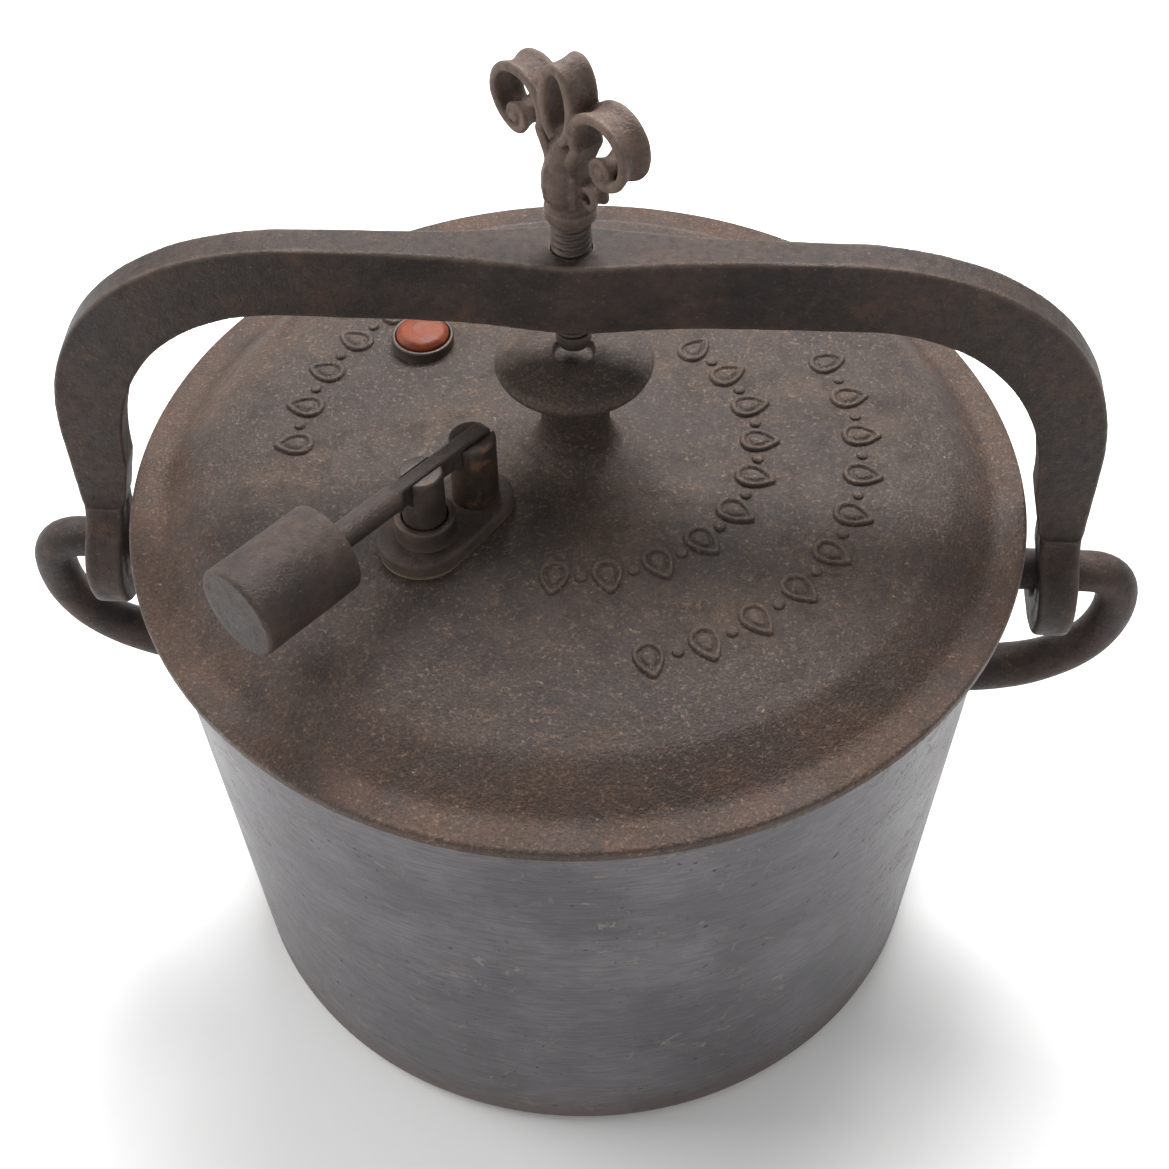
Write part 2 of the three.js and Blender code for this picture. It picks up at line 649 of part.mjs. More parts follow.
function clampScrew() {
  const { radius, tipRadius, tenonRadius, tenonLength } = screw;
  const foot = noseTop + gap;
  const shoulder = handleFoot - gap;
  const body = solid(turned([
    [0, noseBore + gap], [tipRadius, noseBore + gap], [tipRadius, foot], [radius - 1, foot],
    [radius, foot + 1.2], [radius, shoulder - ease], [radius - ease, shoulder], [tenonRadius, shoulder],
    [tenonRadius, shoulder + tenonLength], [0, shoulder + tenonLength],
  ]));
  return piece('clamp_screw', 'steel', cut(body,
    rodAlongY(handle.pinRadius + gap, 2 * handle.collarRadius, handlePinHeight, pin.facets)));
}

// A strap of even thickness along a curve drawn in X and Z.
function strap(points) {
  const half = handle.strapThickness / 2;
  const along = points.map((point, i) => new THREE.Vector2()
    .subVectors(points[Math.min(i + 1, points.length - 1)], points[Math.max(i - 1, 0)]).normalize());
  const side = (sign) => points.map((point, i) =>
    new THREE.Vector2(point.x - sign * half * along[i].y, point.y + sign * half * along[i].x));
  return upright(new THREE.Shape([...side(1), ...side(-1).reverse()]), handle.strapWidth);
}

// A C-scroll that leaves the neck, rolls outwards and winds in on itself.
function voluteLine(side) {
  const steps = 22;
  return Array.from({ length: steps + 1 }, (_, i) => {
    const t = i / steps;
    const angle = radians(handle.voluteStart - handle.voluteSweep * t);
    const radius = handle.volute * (1 - handle.voluteWinding * t ** 3);
    return new THREE.Vector2(
      side * (handle.voluteReach + radius * Math.cos(angle)),
      handleFoot + handle.voluteHeight + radius * Math.sin(angle));
  });
}

// The strap of the middle loop is thicker at its foot than at its top.
function middleLoop() {
  const { loopHalfWidth, loopTop, loopFoot, strapThickness } = handle;
  const halfHeight = (loopTop - loopFoot) / 2;
  const middle = handleFoot + (loopTop + loopFoot) / 2;
  const footGain = 1;
  const loop = new THREE.Shape().absellipse(0, middle, loopHalfWidth, halfHeight, 0, 2 * Math.PI, false, 0);
  loop.holes.push(new THREE.Path().absellipse(0, middle + footGain,
    loopHalfWidth - strapThickness, halfHeight - strapThickness - footGain, 0, 2 * Math.PI, true, 0));
  return upright(loop, handle.strapWidth, 14);
}

function scrollHandle() {
  const { collarRadius, collarHeight, bulbRadius, bulbHeight, neckTop } = handle;
  const collarTop = handleFoot + collarHeight;
  const bulbMiddle = handleFoot + bulbHeight;
  const top = handleFoot + neckTop;
  const neck = turned([
    [0, handleFoot], [collarRadius - 1, handleFoot], [collarRadius, handleFoot + 1.2],
    [collarRadius, collarTop - 1.2], [collarRadius - 1.4, collarTop], [collarRadius - 1.2, collarTop + 1.5],
    [bulbRadius - 0.6, bulbMiddle - 4], [bulbRadius, bulbMiddle], [bulbRadius - 1, bulbMiddle + 4],
    [bulbRadius - 3, bulbMiddle + 9], [bulbRadius - 3.4, top], [0, top],
  ]);
  const body = join(neck, middleLoop(), strap(voluteLine(1)), strap(voluteLine(-1)));
  return piece('scroll_handle', 'forged', cut(body,
    rod(screw.tenonRadius + gap, handleFoot - 1, handleFoot + screw.tenonLength),
    rodAlongY(handle.pinRadius + gap, 2 * collarRadius + 2, handlePinHeight, pin.facets)));
}

function handlePin() {
  const length = 2 * (handle.collarRadius - gap);
  return piece('handle_pin', 'steel', rodAlongY(handle.pinRadius, length, handlePinHeight, pin.facets));
}

// ---- assembly ----

const nutOn = (owner, name) =>
  piece(name, 'steel', hexNut(nutFlats(owner), owner.shankRadius + gap, nutTop - nut.height, nutTop));

function group(children, { x = 0, y = 0, z = 0, turn = 0 } = {}) {
  const holder = new THREE.Group();
  holder.add(...children);
  holder.position.set(x, y, z);
  holder.rotation.z = radians(turn);
  return holder;
}

const valveGroup = group([
  valvePlate(), plateGasket(), fulcrumPost(), fulcrumPin(),
  nutOn(post, 'post_nut'),
  group([
    valveSeat(), valvePlunger(),
    nutOn(seat, 'seat_nut'),
  ], { x: valve.throw }),
  leverArm(), leverWeight(), weightPin(),
], { x: valve.x, y: valve.y, turn: valve.turn });

const reliefGroup = group([
  reliefSeat(), reliefPlug(), nutOn(relief, 'relief_nut'),
], { x: relief.x, y: relief.y });

const lidGroup = group([lidCasting(), sealingRing(), pressingKnob(), knobWasher(), valveGroup, reliefGroup],
  { z: lidTop });

const yokeGroup = group([
  yokeBar(), screwNose(),
  group([clampScrew(), scrollHandle(), handlePin()], { turn: handle.turn }),
], { z: lidTop });

export default group([potBody(), earBar('ear_left', -1), earBar('ear_right', 1), lidGroup, yokeGroup]);
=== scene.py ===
# %% [markdown]
# # A cast-iron pressure canner
# This pot cooks under pressure. A forged yoke hooks under two ears, and a screw in its middle presses
# the lid down. A weighted lever lets steam out, and a soft plug blows out if the lever ever sticks.
# The working model gives every size and place. This file makes the surfaces: the casting's grain, the
# hammered bar, the cut thread and the rust.

# %% Load the working model
import json
import math

import bpy
import numpy as np
from mathutils import Matrix, Vector, noise


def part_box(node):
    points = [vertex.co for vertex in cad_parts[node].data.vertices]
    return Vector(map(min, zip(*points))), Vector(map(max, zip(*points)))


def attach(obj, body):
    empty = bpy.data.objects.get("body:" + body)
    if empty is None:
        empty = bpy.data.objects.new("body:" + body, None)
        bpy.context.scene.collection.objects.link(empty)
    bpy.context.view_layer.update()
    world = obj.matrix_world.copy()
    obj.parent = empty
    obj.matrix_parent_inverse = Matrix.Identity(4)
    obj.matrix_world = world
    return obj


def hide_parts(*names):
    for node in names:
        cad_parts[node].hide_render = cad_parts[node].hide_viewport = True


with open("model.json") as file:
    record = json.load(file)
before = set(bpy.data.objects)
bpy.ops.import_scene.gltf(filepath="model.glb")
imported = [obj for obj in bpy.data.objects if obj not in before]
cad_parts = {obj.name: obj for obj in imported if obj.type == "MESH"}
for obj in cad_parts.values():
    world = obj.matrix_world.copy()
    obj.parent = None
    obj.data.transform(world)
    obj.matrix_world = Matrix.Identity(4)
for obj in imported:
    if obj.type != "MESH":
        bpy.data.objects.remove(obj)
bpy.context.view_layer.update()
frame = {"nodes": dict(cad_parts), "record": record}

# %% [markdown]
# Shop drawings of ironwork are in millimetres, and Blender works in metres. Every profile below is
# written in millimetres, and one helper turns it into a mesh in metres. The places come from the boxes
# of the working model's pieces.

# %% Sizes from the working model
MM = 0.001


def box_mm(node):
    """The lowest and highest corners of a piece of the working model, in millimetres."""
    low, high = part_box(node)
    return low / MM, high / MM


def new_object(name, verts, faces):
    """A mesh object from points in millimetres. It sits at the origin, with its place in its mesh."""
    mesh = bpy.data.meshes.new(name)
    mesh.from_pydata([Vector(v) * MM for v in verts], [], faces)
    made = bpy.data.objects.new(name, mesh)
    bpy.context.scene.collection.objects.link(made)
    return made


lid_low, lid_high = box_mm("lid_casting")
pot_high = box_mm("pot_body")[1]
GAP = 0.3
PACKING = 1.4
FLANGE = 4.4
LID_TOP = pot_high.z + GAP + PACKING + GAP + FLANGE
print(f"lid {2 * lid_high.x:.0f} mm across, its flange {LID_TOP:.0f} mm above the floor")

# %% [markdown]
# ## Profiles with real roundings
# No edge of a casting is sharp: the sand rounds it, and every cut edge is broken with a file. So an
# outline here is a list of corners, each with the radius of its rounding, and a helper puts a true arc
# at each one. Long stretches are then divided, so that the surface can carry a casting's slight waves.

# %% Rounded outlines


def rounded(corners, closed, steps=5):
    """Turns corners of (x, y, radius) into points, with an arc at each corner that has a radius."""
    points = []
    count = len(corners)
    for i, (x, y, radius) in enumerate(corners):
        here = Vector((x, y))
        if radius == 0 or (not closed and i in (0, count - 1)):
            points.append((x, y))
            continue
        before = Vector(corners[i - 1][:2]) - here
        after = Vector(corners[(i + 1) % count][:2]) - here
        half = before.angle(after) / 2
        reach = min(radius / math.tan(half), 0.48 * before.length, 0.48 * after.length)
        radius = reach * math.tan(half)
        centre = here + (before.normalized() + after.normalized()).normalized() * radius / math.sin(half)
        first = here + before.normalized() * reach - centre
        last = here + after.normalized() * reach - centre
        turn = first.angle_signed(last)
        for step in range(steps + 1):
            arm = first.copy()
            arm.rotate(Matrix.Rotation(-turn * step / steps, 2))
            points.append(tuple(centre + arm))
    return points


def divided(points, longest, closed):
    """Puts points on the long straight stretches, so that none is longer than asked."""
    result = []
    ends = points[1:] + points[:1] if closed else points[1:]
    for (x0, y0), (x1, y1) in zip(points, ends):
        parts = max(1, math.ceil(math.hypot(x1 - x0, y1 - y0) / longest))
        result += [(x0 + (x1 - x0) * k / parts, y0 + (y1 - y0) * k / parts) for k in range(parts)]
    return result if closed else result + [points[-1]]


# %% Turned pieces


def turned(name, corners, segments, closed=False, longest=4.0, centre=(0, 0), wave=None):
    """Turns an outline of (radius, height, rounding) about an upright line through the centre.
    wave takes a point and gives how far the surface stands back there, in millimetres."""
    outline = divided(rounded(corners, closed), longest, closed)
    verts = []
    rings = []
    for radius, height in outline:
        if radius < 1e-6:
            rings.append([len(verts)])
            verts.append(Vector((0, 0, height)))
            continue
        rings.append([len(verts) + k for k in range(segments)])
        for k in range(segments):
            angle = 2 * math.pi * k / segments
            point = Vector((radius * math.cos(angle), radius * math.sin(angle), height))
            if wave:
                point *= 1 - wave(point) / point.length
            verts.append(point)
    faces = []
    pairs = list(zip(rings, rings[1:] + rings[:1])) if closed else list(zip(rings, rings[1:]))
    for low, high in pairs:
        for k in range(segments):
            n = (k + 1) % segments
            if len(low) == 1:
                faces.append((low[0], high[n], high[k]))
            elif len(high) == 1:
                faces.append((low[k], low[n], high[0]))
            else:
                faces.append((low[k], low[n], high[n], high[k]))
    place = Vector((*centre, 0))
    return facing_out(new_object(name, [v + place for v in verts], faces))


def between_rings(count, rings):
    """The four-sided faces between stacked rings of count points each."""
    return [
        (a + k, a + (k + 1) % count, a + count + (k + 1) % count, a + count + k)
        for a in range(0, count * (rings - 1), count)
        for k in range(count)
    ]


def facing_out(piece):
    """Turns a closed mesh the right way out, which a negative volume gives away."""
    mesh = piece.data
    mesh.calc_loop_triangles()
    co = np.array([v.co for v in mesh.vertices])
    a, b, c = (co[[t.vertices[i] for t in mesh.loop_triangles]] for i in range(3))
    if np.einsum("ij,ij->i", a, np.cross(b, c)).sum() < 0:
        mesh.flip_normals()
    return piece


# %% [markdown]
# ## Finishing a piece
# A curved face is shaded smooth and a real edge is kept crisp, so edges past a set angle are marked
# sharp. Then the piece gets its material, rides with its body, and hides the plain solid that it
# stands for.

# %% Finish


def finished(piece, material, body, slot, *nodes, crisp=35):
    """Shades a piece, gives it its material and ties it to the working model."""
    piece.data.materials.clear()
    piece.data.materials.append(material)
    piece.data.shade_smooth()
    piece.data.set_sharp_from_angle(angle=math.radians(crisp))
    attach(piece, body)
    if nodes:
        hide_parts(*nodes)
    print(f"{piece.name}: {len(piece.data.polygons)} faces, rides with {body}")
    return piece


# %% [markdown]
# ## Expressions for node trees
# A material is easier to read as a formula than as a web of wires. This class wraps one output socket.
# Adding, subtracting or multiplying two of them adds the Math node that does it, and `node` adds any
# other node. It serves geometry trees as well.

# %% A socket that takes part in sums


class Term:
    """The output of a node, for use in expressions."""

    def __init__(self, tree, socket):
        self.tree = tree
        self.socket = socket

    def node(self, kind, settings=None, inputs=None, output=0):
        """Adds any node: its settings first, then its inputs, each a Term or a plain value."""
        made = self.tree.nodes.new(kind)
        for key, value in (settings or {}).items():
            if key == "stops":
                for k, (place, colour) in enumerate(value):
                    element = made.color_ramp.elements
                    stop = element[k] if k < 2 else element.new(place)
                    stop.position = place
                    stop.color = (*colour, 1)
            else:
                setattr(made, key, value)
        for key, value in (inputs or {}).items():
            if isinstance(value, Term):
                self.tree.links.new(made.inputs[key], value.socket)
            else:
                made.inputs[key].default_value = value
        return Term(self.tree, made.outputs[output])

    def maths(self, operation, a, b=0.0, clamp=False):
        return self.node("ShaderNodeMath", {"operation": operation, "use_clamp": clamp}, {0: a, 1: b})

    def __add__(self, other):
        return self.maths("ADD", self, other)

    __radd__ = __add__

    def __sub__(self, other):
        return self.maths("SUBTRACT", self, other)

    def __rsub__(self, other):
        return self.maths("SUBTRACT", other, self)

    def __mul__(self, other):
        return self.maths("MULTIPLY", self, other)

    __rmul__ = __mul__

    def __truediv__(self, other):
        return self.maths("DIVIDE", self, other)

    def clamped(self):
        return self.maths("ADD", self, 0.0, clamp=True)

    def ramp(self, low, high):
        """0 below low, 1 above high, and smooth between."""
        return self.node("ShaderNodeMapRange", {"interpolation_type": "SMOOTHSTEP"}, {
            "Value": self, "From Min": low, "From Max": high,
        })

    def part(self, axis):
        """One coordinate of a vector: 0, 1 or 2."""
        return self.node("ShaderNodeSeparateXYZ", None, {0: self}, output=axis)

    def scaled(self, x, y, z):
        return self.node("ShaderNodeVectorMath", {"operation": "MULTIPLY"}, {0: self, 1: (x, y, z)})

    def noise(self, size, detail=3.0, roughness=0.55, distortion=0.0):
        """Cloudy noise whose features are about that many millimetres across."""
        return self.node("ShaderNodeTexNoise", None, {
            "Vector": self, "Scale": 1 / (size * MM), "Detail": detail, "Roughness": roughness,
            "Distortion": distortion,
        })

    def cells(self, size, feature="F1"):
        """The distance to the nearest of scattered points, about that many millimetres apart."""
        return self.node("ShaderNodeTexVoronoi", {"feature": feature}, {
            "Vector": self, "Scale": 1 / (size * MM),
        })

    def blend(self, first, second):
        """A colour that goes from the first to the second as this term goes from 0 to 1."""
        mix = self.tree.nodes.new("ShaderNodeMix")
        mix.data_type = "RGBA"
        self.tree.links.new(mix.inputs["Factor"], self.socket)
        for name, value in (("A", first), ("B", second)):
            socket = [s for s in mix.inputs if s.name == name and s.type == "RGBA"][0]
            if isinstance(value, Term):
                self.tree.links.new(socket, value.socket)
            else:
                socket.default_value = (*value, 1)
        return Term(self.tree, [s for s in mix.outputs if s.type == "RGBA"][0])

    def bump(self, depth, after=None):
        """Bends the surface's normal by this height. depth is its full height in millimetres."""
        inputs = {"Height": self, "Strength": 1.0, "Distance": depth * MM}
        if after:
            inputs["Normal"] = after
        return self.node("ShaderNodeBump", None, inputs)


# %% A material and its starting point


def new_material(name):
    """A fresh material. Gives it with its coordinates, in metres on the piece itself."""
    material = bpy.data.materials.new(name)
    material.use_nodes = True
    tree = material.node_tree
    tree.nodes.clear()
    coordinates = tree.nodes.new("ShaderNodeTexCoord")
    return material, Term(tree, coordinates.outputs["Object"])


def surface(material, colour, roughness, normal, metallic=0.0, specular=0.5):
    """Puts a metal's surface together. A plain number is set on the shader's own socket."""
    tree = material.node_tree
    shader = tree.nodes.new("ShaderNodeBsdfPrincipled")
    output = tree.nodes.new("ShaderNodeOutputMaterial")
    tree.links.new(output.inputs["Surface"], shader.outputs["BSDF"])
    for name, value in (
        ("Base Color", colour), ("Roughness", roughness), ("Normal", normal), ("Metallic", metallic),
        ("Specular IOR Level", specular),
    ):
        if isinstance(value, Term):
            tree.links.new(shader.inputs[name], value.socket)
        else:
            shader.inputs[name].default_value = value
    return material


def srgb(red, green, blue):
    """A colour as 0 to 255 on a screen, turned into the light that a shader works in."""
    shares = (red / 255, green / 255, blue / 255)
    return tuple(c / 12.92 if c <= 0.04 else ((c + 0.055) / 1.055) ** 2.4 for c in shares)


def attribute(term, name):
    """A number stored on the mesh's points."""
    return term.node("ShaderNodeAttribute", {"attribute_name": name}, output=2)


# %% [markdown]
# ## The lid's iron
# The lid was cast in sand and has been wiped with fat for a century. Its skin is a warm brown-black
# with a sandy grain. Broad clouds of rust-brown lie on it, more towards the rim, where hands and steam
# reach. Cloudy noise in three sizes gives the clouds, the stains and the grains.

# %% Lid iron


def lid_iron():
    material, at = new_material("lid_iron")
    clouds = at.noise(46, 5, 0.6).ramp(0.36, 0.66)
    stains = at.noise(11, 6, 0.7, 0.6).ramp(0.42, 0.7)
    grain = at.noise(0.8, 3, 0.75)
    sand = at.noise(1.5, 4, 0.7).ramp(0.52, 0.72)
    level = at.scaled(1, 1, 0)
    radius = level.node("ShaderNodeVectorMath", {"operation": "LENGTH"}, {0: level}, output=1)
    rim = radius.ramp(0.108, 0.146)
    colour = clouds.blend(srgb(56, 47, 43), srgb(76, 62, 53))
    colour = (stains * 0.6).blend(colour, srgb(45, 39, 37))
    patches = at.noise(16, 5, 0.65).ramp(0.35, 0.65)
    colour = (rim * (0.25 + 0.65 * patches)).clamped().blend(colour, srgb(82, 60, 48))
    colour = (at.noise(6, 5, 0.7).ramp(0.54, 0.76) * 0.5).blend(colour, srgb(100, 78, 60))
    colour = (sand * (0.35 + 0.35 * patches)).blend(colour, srgb(132, 110, 92))
    colour = (grain.ramp(0.42, 0.66) * 0.6).blend(colour, srgb(30, 26, 25))
    colour = (at.noise(2.6, 3, 0.6).ramp(0.7, 0.76) * 0.5).blend(colour, srgb(160, 146, 130))
    colour = (attribute(at, "wear") * 0.6).clamped().blend(colour, srgb(116, 98, 84))
    roughness = 0.5 + 0.14 * clouds + 0.14 * stains - 0.1 * sand
    height = at.noise(1.0, 3, 0.7) * 0.6 + at.noise(3.6, 3, 0.5) * 0.4
    normal = height.bump(1.1, at.noise(22, 2, 0.5).bump(1.0))
    return surface(material, colour, roughness, normal, metallic=0.2, specular=0.4)


# %% [markdown]
# ## The pot's iron
# The wall was turned on a lathe and then stood on a stove for years. It is graphite grey, satin, with
# faint level scratches from the tool. Old scale has left pits and pale patches, and the foot is rusty.
# Noise that is squeezed in height gives the level scratches, and cells give the pits.

# %% Pot iron


def pot_iron():
    material, at = new_material("pot_iron")
    tall = at.part(2)
    clouds = at.noise(38, 5, 0.6).ramp(0.35, 0.68)
    streaks = at.scaled(1, 1, 12).noise(9, 5, 0.65)
    scratches = at.scaled(1, 1, 30).noise(24, 5, 0.7).ramp(0.5, 0.72)
    flakes = at.noise(6, 7, 0.75, 0.9).ramp(0.54, 0.62)
    bent = at.node("ShaderNodeVectorMath", {"operation": "ADD"}, {
        0: at, 1: at.noise(5, 2, 0.5).scaled(0.004, 0.004, 0.004),
    })
    pits = (0.34 * at.noise(9, 3, 0.6) - bent.cells(5)).ramp(0.0, 0.08) * at.noise(13, 3, 0.6).ramp(0.46, 0.6)
    patch = at.noise(32, 4, 0.6).ramp(0.43, 0.58)
    foot = 1 - (tall + 0.012 * at.noise(12, 4, 0.6)).ramp(0.008, 0.036)
    colour = clouds.blend(srgb(82, 80, 83), srgb(110, 107, 110))
    colour = (streaks.ramp(0.35, 0.7) * 0.55).blend(colour, srgb(58, 56, 58))
    colour = (scratches * 0.35).blend(colour, srgb(120, 117, 118))
    colour = (flakes * patch * 0.75).blend(colour, srgb(134, 129, 124))
    colour = (pits * (0.25 + 0.75 * patch) * 0.85).clamped().blend(colour, srgb(40, 37, 37))
    rust = (foot * 0.4 + at.noise(15, 6, 0.7).ramp(0.6, 0.78) * 0.4).clamped()
    colour = rust.blend(colour, srgb(98, 76, 64))
    inside = attribute(at, "inside")
    colour = inside.blend(colour, at.noise(20, 4, 0.6).blend(srgb(48, 45, 44), srgb(70, 60, 54)))
    roughness = 0.32 + 0.14 * clouds + 0.18 * flakes * patch + 0.2 * rust + 0.12 * streaks
    height = streaks * 0.3 + at.noise(1.3, 4, 0.65) * 0.35 - pits * 0.9 + flakes * patch * 0.5
    normal = height.bump(0.4, at.noise(17, 2, 0.5).bump(0.7))
    return surface(material, colour, roughness, normal, metallic=0.5)


# %% [markdown]
# ## Forged iron
# The yoke, the ears and the lever were hammered hot. The bar keeps shallow hammer faces, scale leaves
# it dark brown-black, and a hand that holds it polishes its edges. Each forged mesh carries a number
# on its points, high where the surface turns outwards, and the material lightens there: partly that
# real edge wear, and partly a painted highlight along the edges, strongest on the yoke and the handle.

# %% Where hands have worn a piece, and where its edges get a painted highlight


def mark_wear_and_highlight(piece, strength, passes=2):
    """Stores how far each point stands out from its neighbours, from 0 to 1, as an attribute that marks both
    worn edges and painted edge highlights.
    """
    mesh = piece.data
    count = len(mesh.vertices)
    co = np.array([v.co for v in mesh.vertices])
    normal = np.array([v.normal for v in mesh.vertices])
    ends = np.array([e.vertices[:] for e in mesh.edges])
    total = np.zeros((count, 3))
    degree = np.zeros(count)
    for here, there in ((0, 1), (1, 0)):
        np.add.at(total, ends[:, here], co[ends[:, there]] - co[ends[:, here]])
        np.add.at(degree, ends[:, here], 1)
    lengths = np.linalg.norm(co[ends[:, 0]] - co[ends[:, 1]], axis=1)
    out = -np.einsum("ij,ij->i", total / np.maximum(degree, 1)[:, None], normal) / lengths.mean()
    for _ in range(passes):
        spread = np.zeros(count)
        for here, there in ((0, 1), (1, 0)):
            np.add.at(spread, ends[:, here], out[ends[:, there]])
        out = 0.5 * out + 0.5 * spread / np.maximum(degree, 1)
    wear = np.clip(out * strength, 0, 1)
    mesh.attributes.new("wear", "FLOAT", "POINT").data.foreach_set("value", wear.astype(np.float32))
    return piece


# %% Forged iron


def forged_iron(name, dark, light):
    material, at = new_material(name)
    clouds = at.noise(24, 5, 0.6).ramp(0.35, 0.68)
    scale = at.noise(3.2, 6, 0.75).ramp(0.4, 0.72)
    rust = at.noise(13, 6, 0.7, 0.5).ramp(0.52, 0.74)
    colour = clouds.blend(dark, light)
    colour = (scale * 0.55).blend(colour, srgb(36, 31, 30))
    colour = (rust * 0.55).blend(colour, srgb(88, 63, 50))
    colour = (at.noise(1.5, 4, 0.7).ramp(0.58, 0.74) * 0.45).blend(colour, srgb(118, 99, 86))
    # Lighter where the surface turns outwards: real edge wear, and a painted highlight along the edges.
    wear = attribute(at, "wear")
    worn_and_highlit = (wear * (0.35 + 0.9 * at.noise(4, 5, 0.65))).clamped()
    colour = worn_and_highlit.blend(colour, srgb(132, 115, 102))
    roughness = 0.48 + 0.14 * clouds + 0.12 * scale - 0.14 * worn_and_highlit
    faces = at.cells(9, "SMOOTH_F1") * 0.6 + at.noise(5, 3, 0.5) * 0.4
    height = at.noise(0.9, 4, 0.7)
    normal = height.bump(0.4, faces.bump(0.9))
    return surface(material, colour, roughness, normal, metallic=0.35, specular=0.4)


# %% [markdown]
# ## Turned steel, rust, packing and the plug
# The valve and the screw were turned from bar and have browned. The post's top was filed and has
# rusted since. The packing is greased hemp. The relief plug is a hard red-brown rubber, slightly glossy.

# %% Steel


def old_steel(name, dark, light, rust_share):
    material, at = new_material(name)
    clouds = at.noise(14, 5, 0.6).ramp(0.35, 0.68)
    turning = at.scaled(1, 1, 9).noise(2.5, 3, 0.6)
    rust = at.noise(6, 5, 0.7, 0.4).ramp(0.64 - rust_share / 2, 0.8 - rust_share / 2)
    colour = clouds.blend(dark, light)
    colour = (turning.ramp(0.4, 0.7) * 0.35).blend(colour, srgb(40, 35, 33))
    colour = (rust * 0.7).blend(colour, srgb(112, 76, 54))
    colour = (attribute(at, "wear") * 0.7).clamped().blend(colour, srgb(132, 118, 108))
    roughness = 0.38 + 0.16 * clouds + 0.22 * rust
    height = turning * 0.4 + at.noise(0.8, 4, 0.7) * 0.6
    return surface(material, colour, roughness, height.bump(0.25 + 0.2 * rust_share), metallic=0.4)


def packing():
    material, at = new_material("packing")
    fibres = at.scaled(1, 1, 3).noise(1.2, 5, 0.8, 1.5)
    colour = fibres.ramp(0.3, 0.7).blend(srgb(86, 74, 62), srgb(134, 118, 100))
    return surface(material, colour, 0.9, fibres.bump(0.3))


def plug_rubber():
    material, at = new_material("plug_rubber")
    clouds = at.noise(6, 4, 0.6).ramp(0.35, 0.65)
    colour = clouds.blend(srgb(92, 36, 12), srgb(116, 50, 20))
    colour = (at.noise(1.4, 3, 0.6).ramp(0.56, 0.72) * 0.6).blend(colour, srgb(58, 26, 17))
    return surface(material, colour, 0.45 + 0.16 * clouds, at.noise(2, 3, 0.5).bump(0.25), specular=0.3)


finishes = {
    "lid_iron": lid_iron(),
    "pot_iron": pot_iron(),
    "forged_iron": forged_iron("forged_iron", srgb(44, 37, 34), srgb(66, 54, 49)),
    # A lighter copy of the forged iron for the handle: it paints the handle's sheen.
    "handled_iron": forged_iron("handled_iron", srgb(76, 62, 55), srgb(104, 86, 76)),
    "steel": old_steel("steel", srgb(52, 44, 40), srgb(76, 64, 56), 0.1),
    "rusty_steel": old_steel("rusty_steel", srgb(46, 38, 34), srgb(78, 60, 48), 0.2),
    "packing": packing(),
    "plug_rubber": plug_rubber(),
}
print("finishes:", sorted(finishes))

# %% [markdown]
# ## The pot
# The pot is a turned shell: a flat bottom, a wall that leans out, and a thick rim with a ledge that the
# lid's spigot enters. One outline, turned, makes the whole shell closed. A slow wave of a third of a
# millimetre keeps the wall from looking too perfect.

# %% Pot


def cast_wave(size, depth):
    """A slow wave for a cast surface, as a function of a point, from 0 to its depth."""
    return lambda point: depth * (0.5 + 0.5 * noise.noise(point / size))


def pot():
    rim, top = pot_high.x, pot_high.z
    wall, lip, land, rim_height, taper = 6, 1.4, 14, 9, 11.6
    wall_top = top - rim_height
    foot = rim - lip - taper - 0.4
    corners = [
        (0, 0, 0), (foot, 0, 7), (rim - lip, wall_top, 1.5), (rim, wall_top + 1.4, 1), (rim, top, 1.1),
        (rim - land, top, 1.2), (rim - land, top - 10, 3), (rim - lip - wall, wall_top - 12, 5),
        (foot - wall, 8, 18), (0, 8, 0),
    ]
    piece = turned("pot_shell", corners, 224, longest=5, wave=cast_wave(55, 0.35))
    inside = [
        float((v.co.xy.length < (rim - lip - wall + 2) * MM - (top * MM - v.co.z) * 0.062) and v.co.z > 0.007)
        for v in piece.data.vertices
    ]
    piece.data.attributes.new("inside", "FLOAT", "POINT").data.foreach_set("value", inside)
    return finished(piece, finishes["pot_iron"], "pot", "pot_iron", "pot_body")


pot()

# %% [markdown]
# ## The lid
# The lid is also turned: a flat flange, a hollow where the flange meets the shoulder, a slope, a
# rounded shoulder and a gentle dome. Its spigot drops into the pot. The steam ways are bored
# afterwards with a boolean, as a drill does it.

# %% Lid

SHOULDER_RISE = 12.6
CROWN = lid_high.z - LID_TOP


def dome(radius):
    """The height of the dome above the flange: it falls off as the square of the radius."""
    return CROWN - (CROWN - SHOULDER_RISE - 2.6) * (radius / 118.5) ** 2


def bored(piece, holes):
    """Cuts round holes of (x, y, radius, low, high) through a piece."""
    for x, y, radius, low, high in holes:
        outline = [(0, low, 0), (radius, low, 0), (radius, high, 0), (0, high, 0)]
        cut_by(piece, turned("drill", outline, 48, centre=(x, y)))
    return piece


def cut_by(piece, tool):
    """Cuts another mesh out of a piece. The tool is used up."""
    modifier = piece.modifiers.new("cut", "BOOLEAN")
    modifier.operation = "DIFFERENCE"
    modifier.solver = "EXACT"
    modifier.object = tool
    apply_modifiers(piece)
    bpy.data.objects.remove(tool)
    return piece


def apply_modifiers(piece):
    """Makes what the modifiers show the piece's own plain mesh."""
    graph = bpy.context.evaluated_depsgraph_get()
    mesh = bpy.data.meshes.new_from_object(piece.evaluated_get(graph))
    piece.modifiers.clear()
    piece.data = mesh
    return piece


def centre_mm(node):
    low, high = box_mm(node)
    return (low + high) / 2


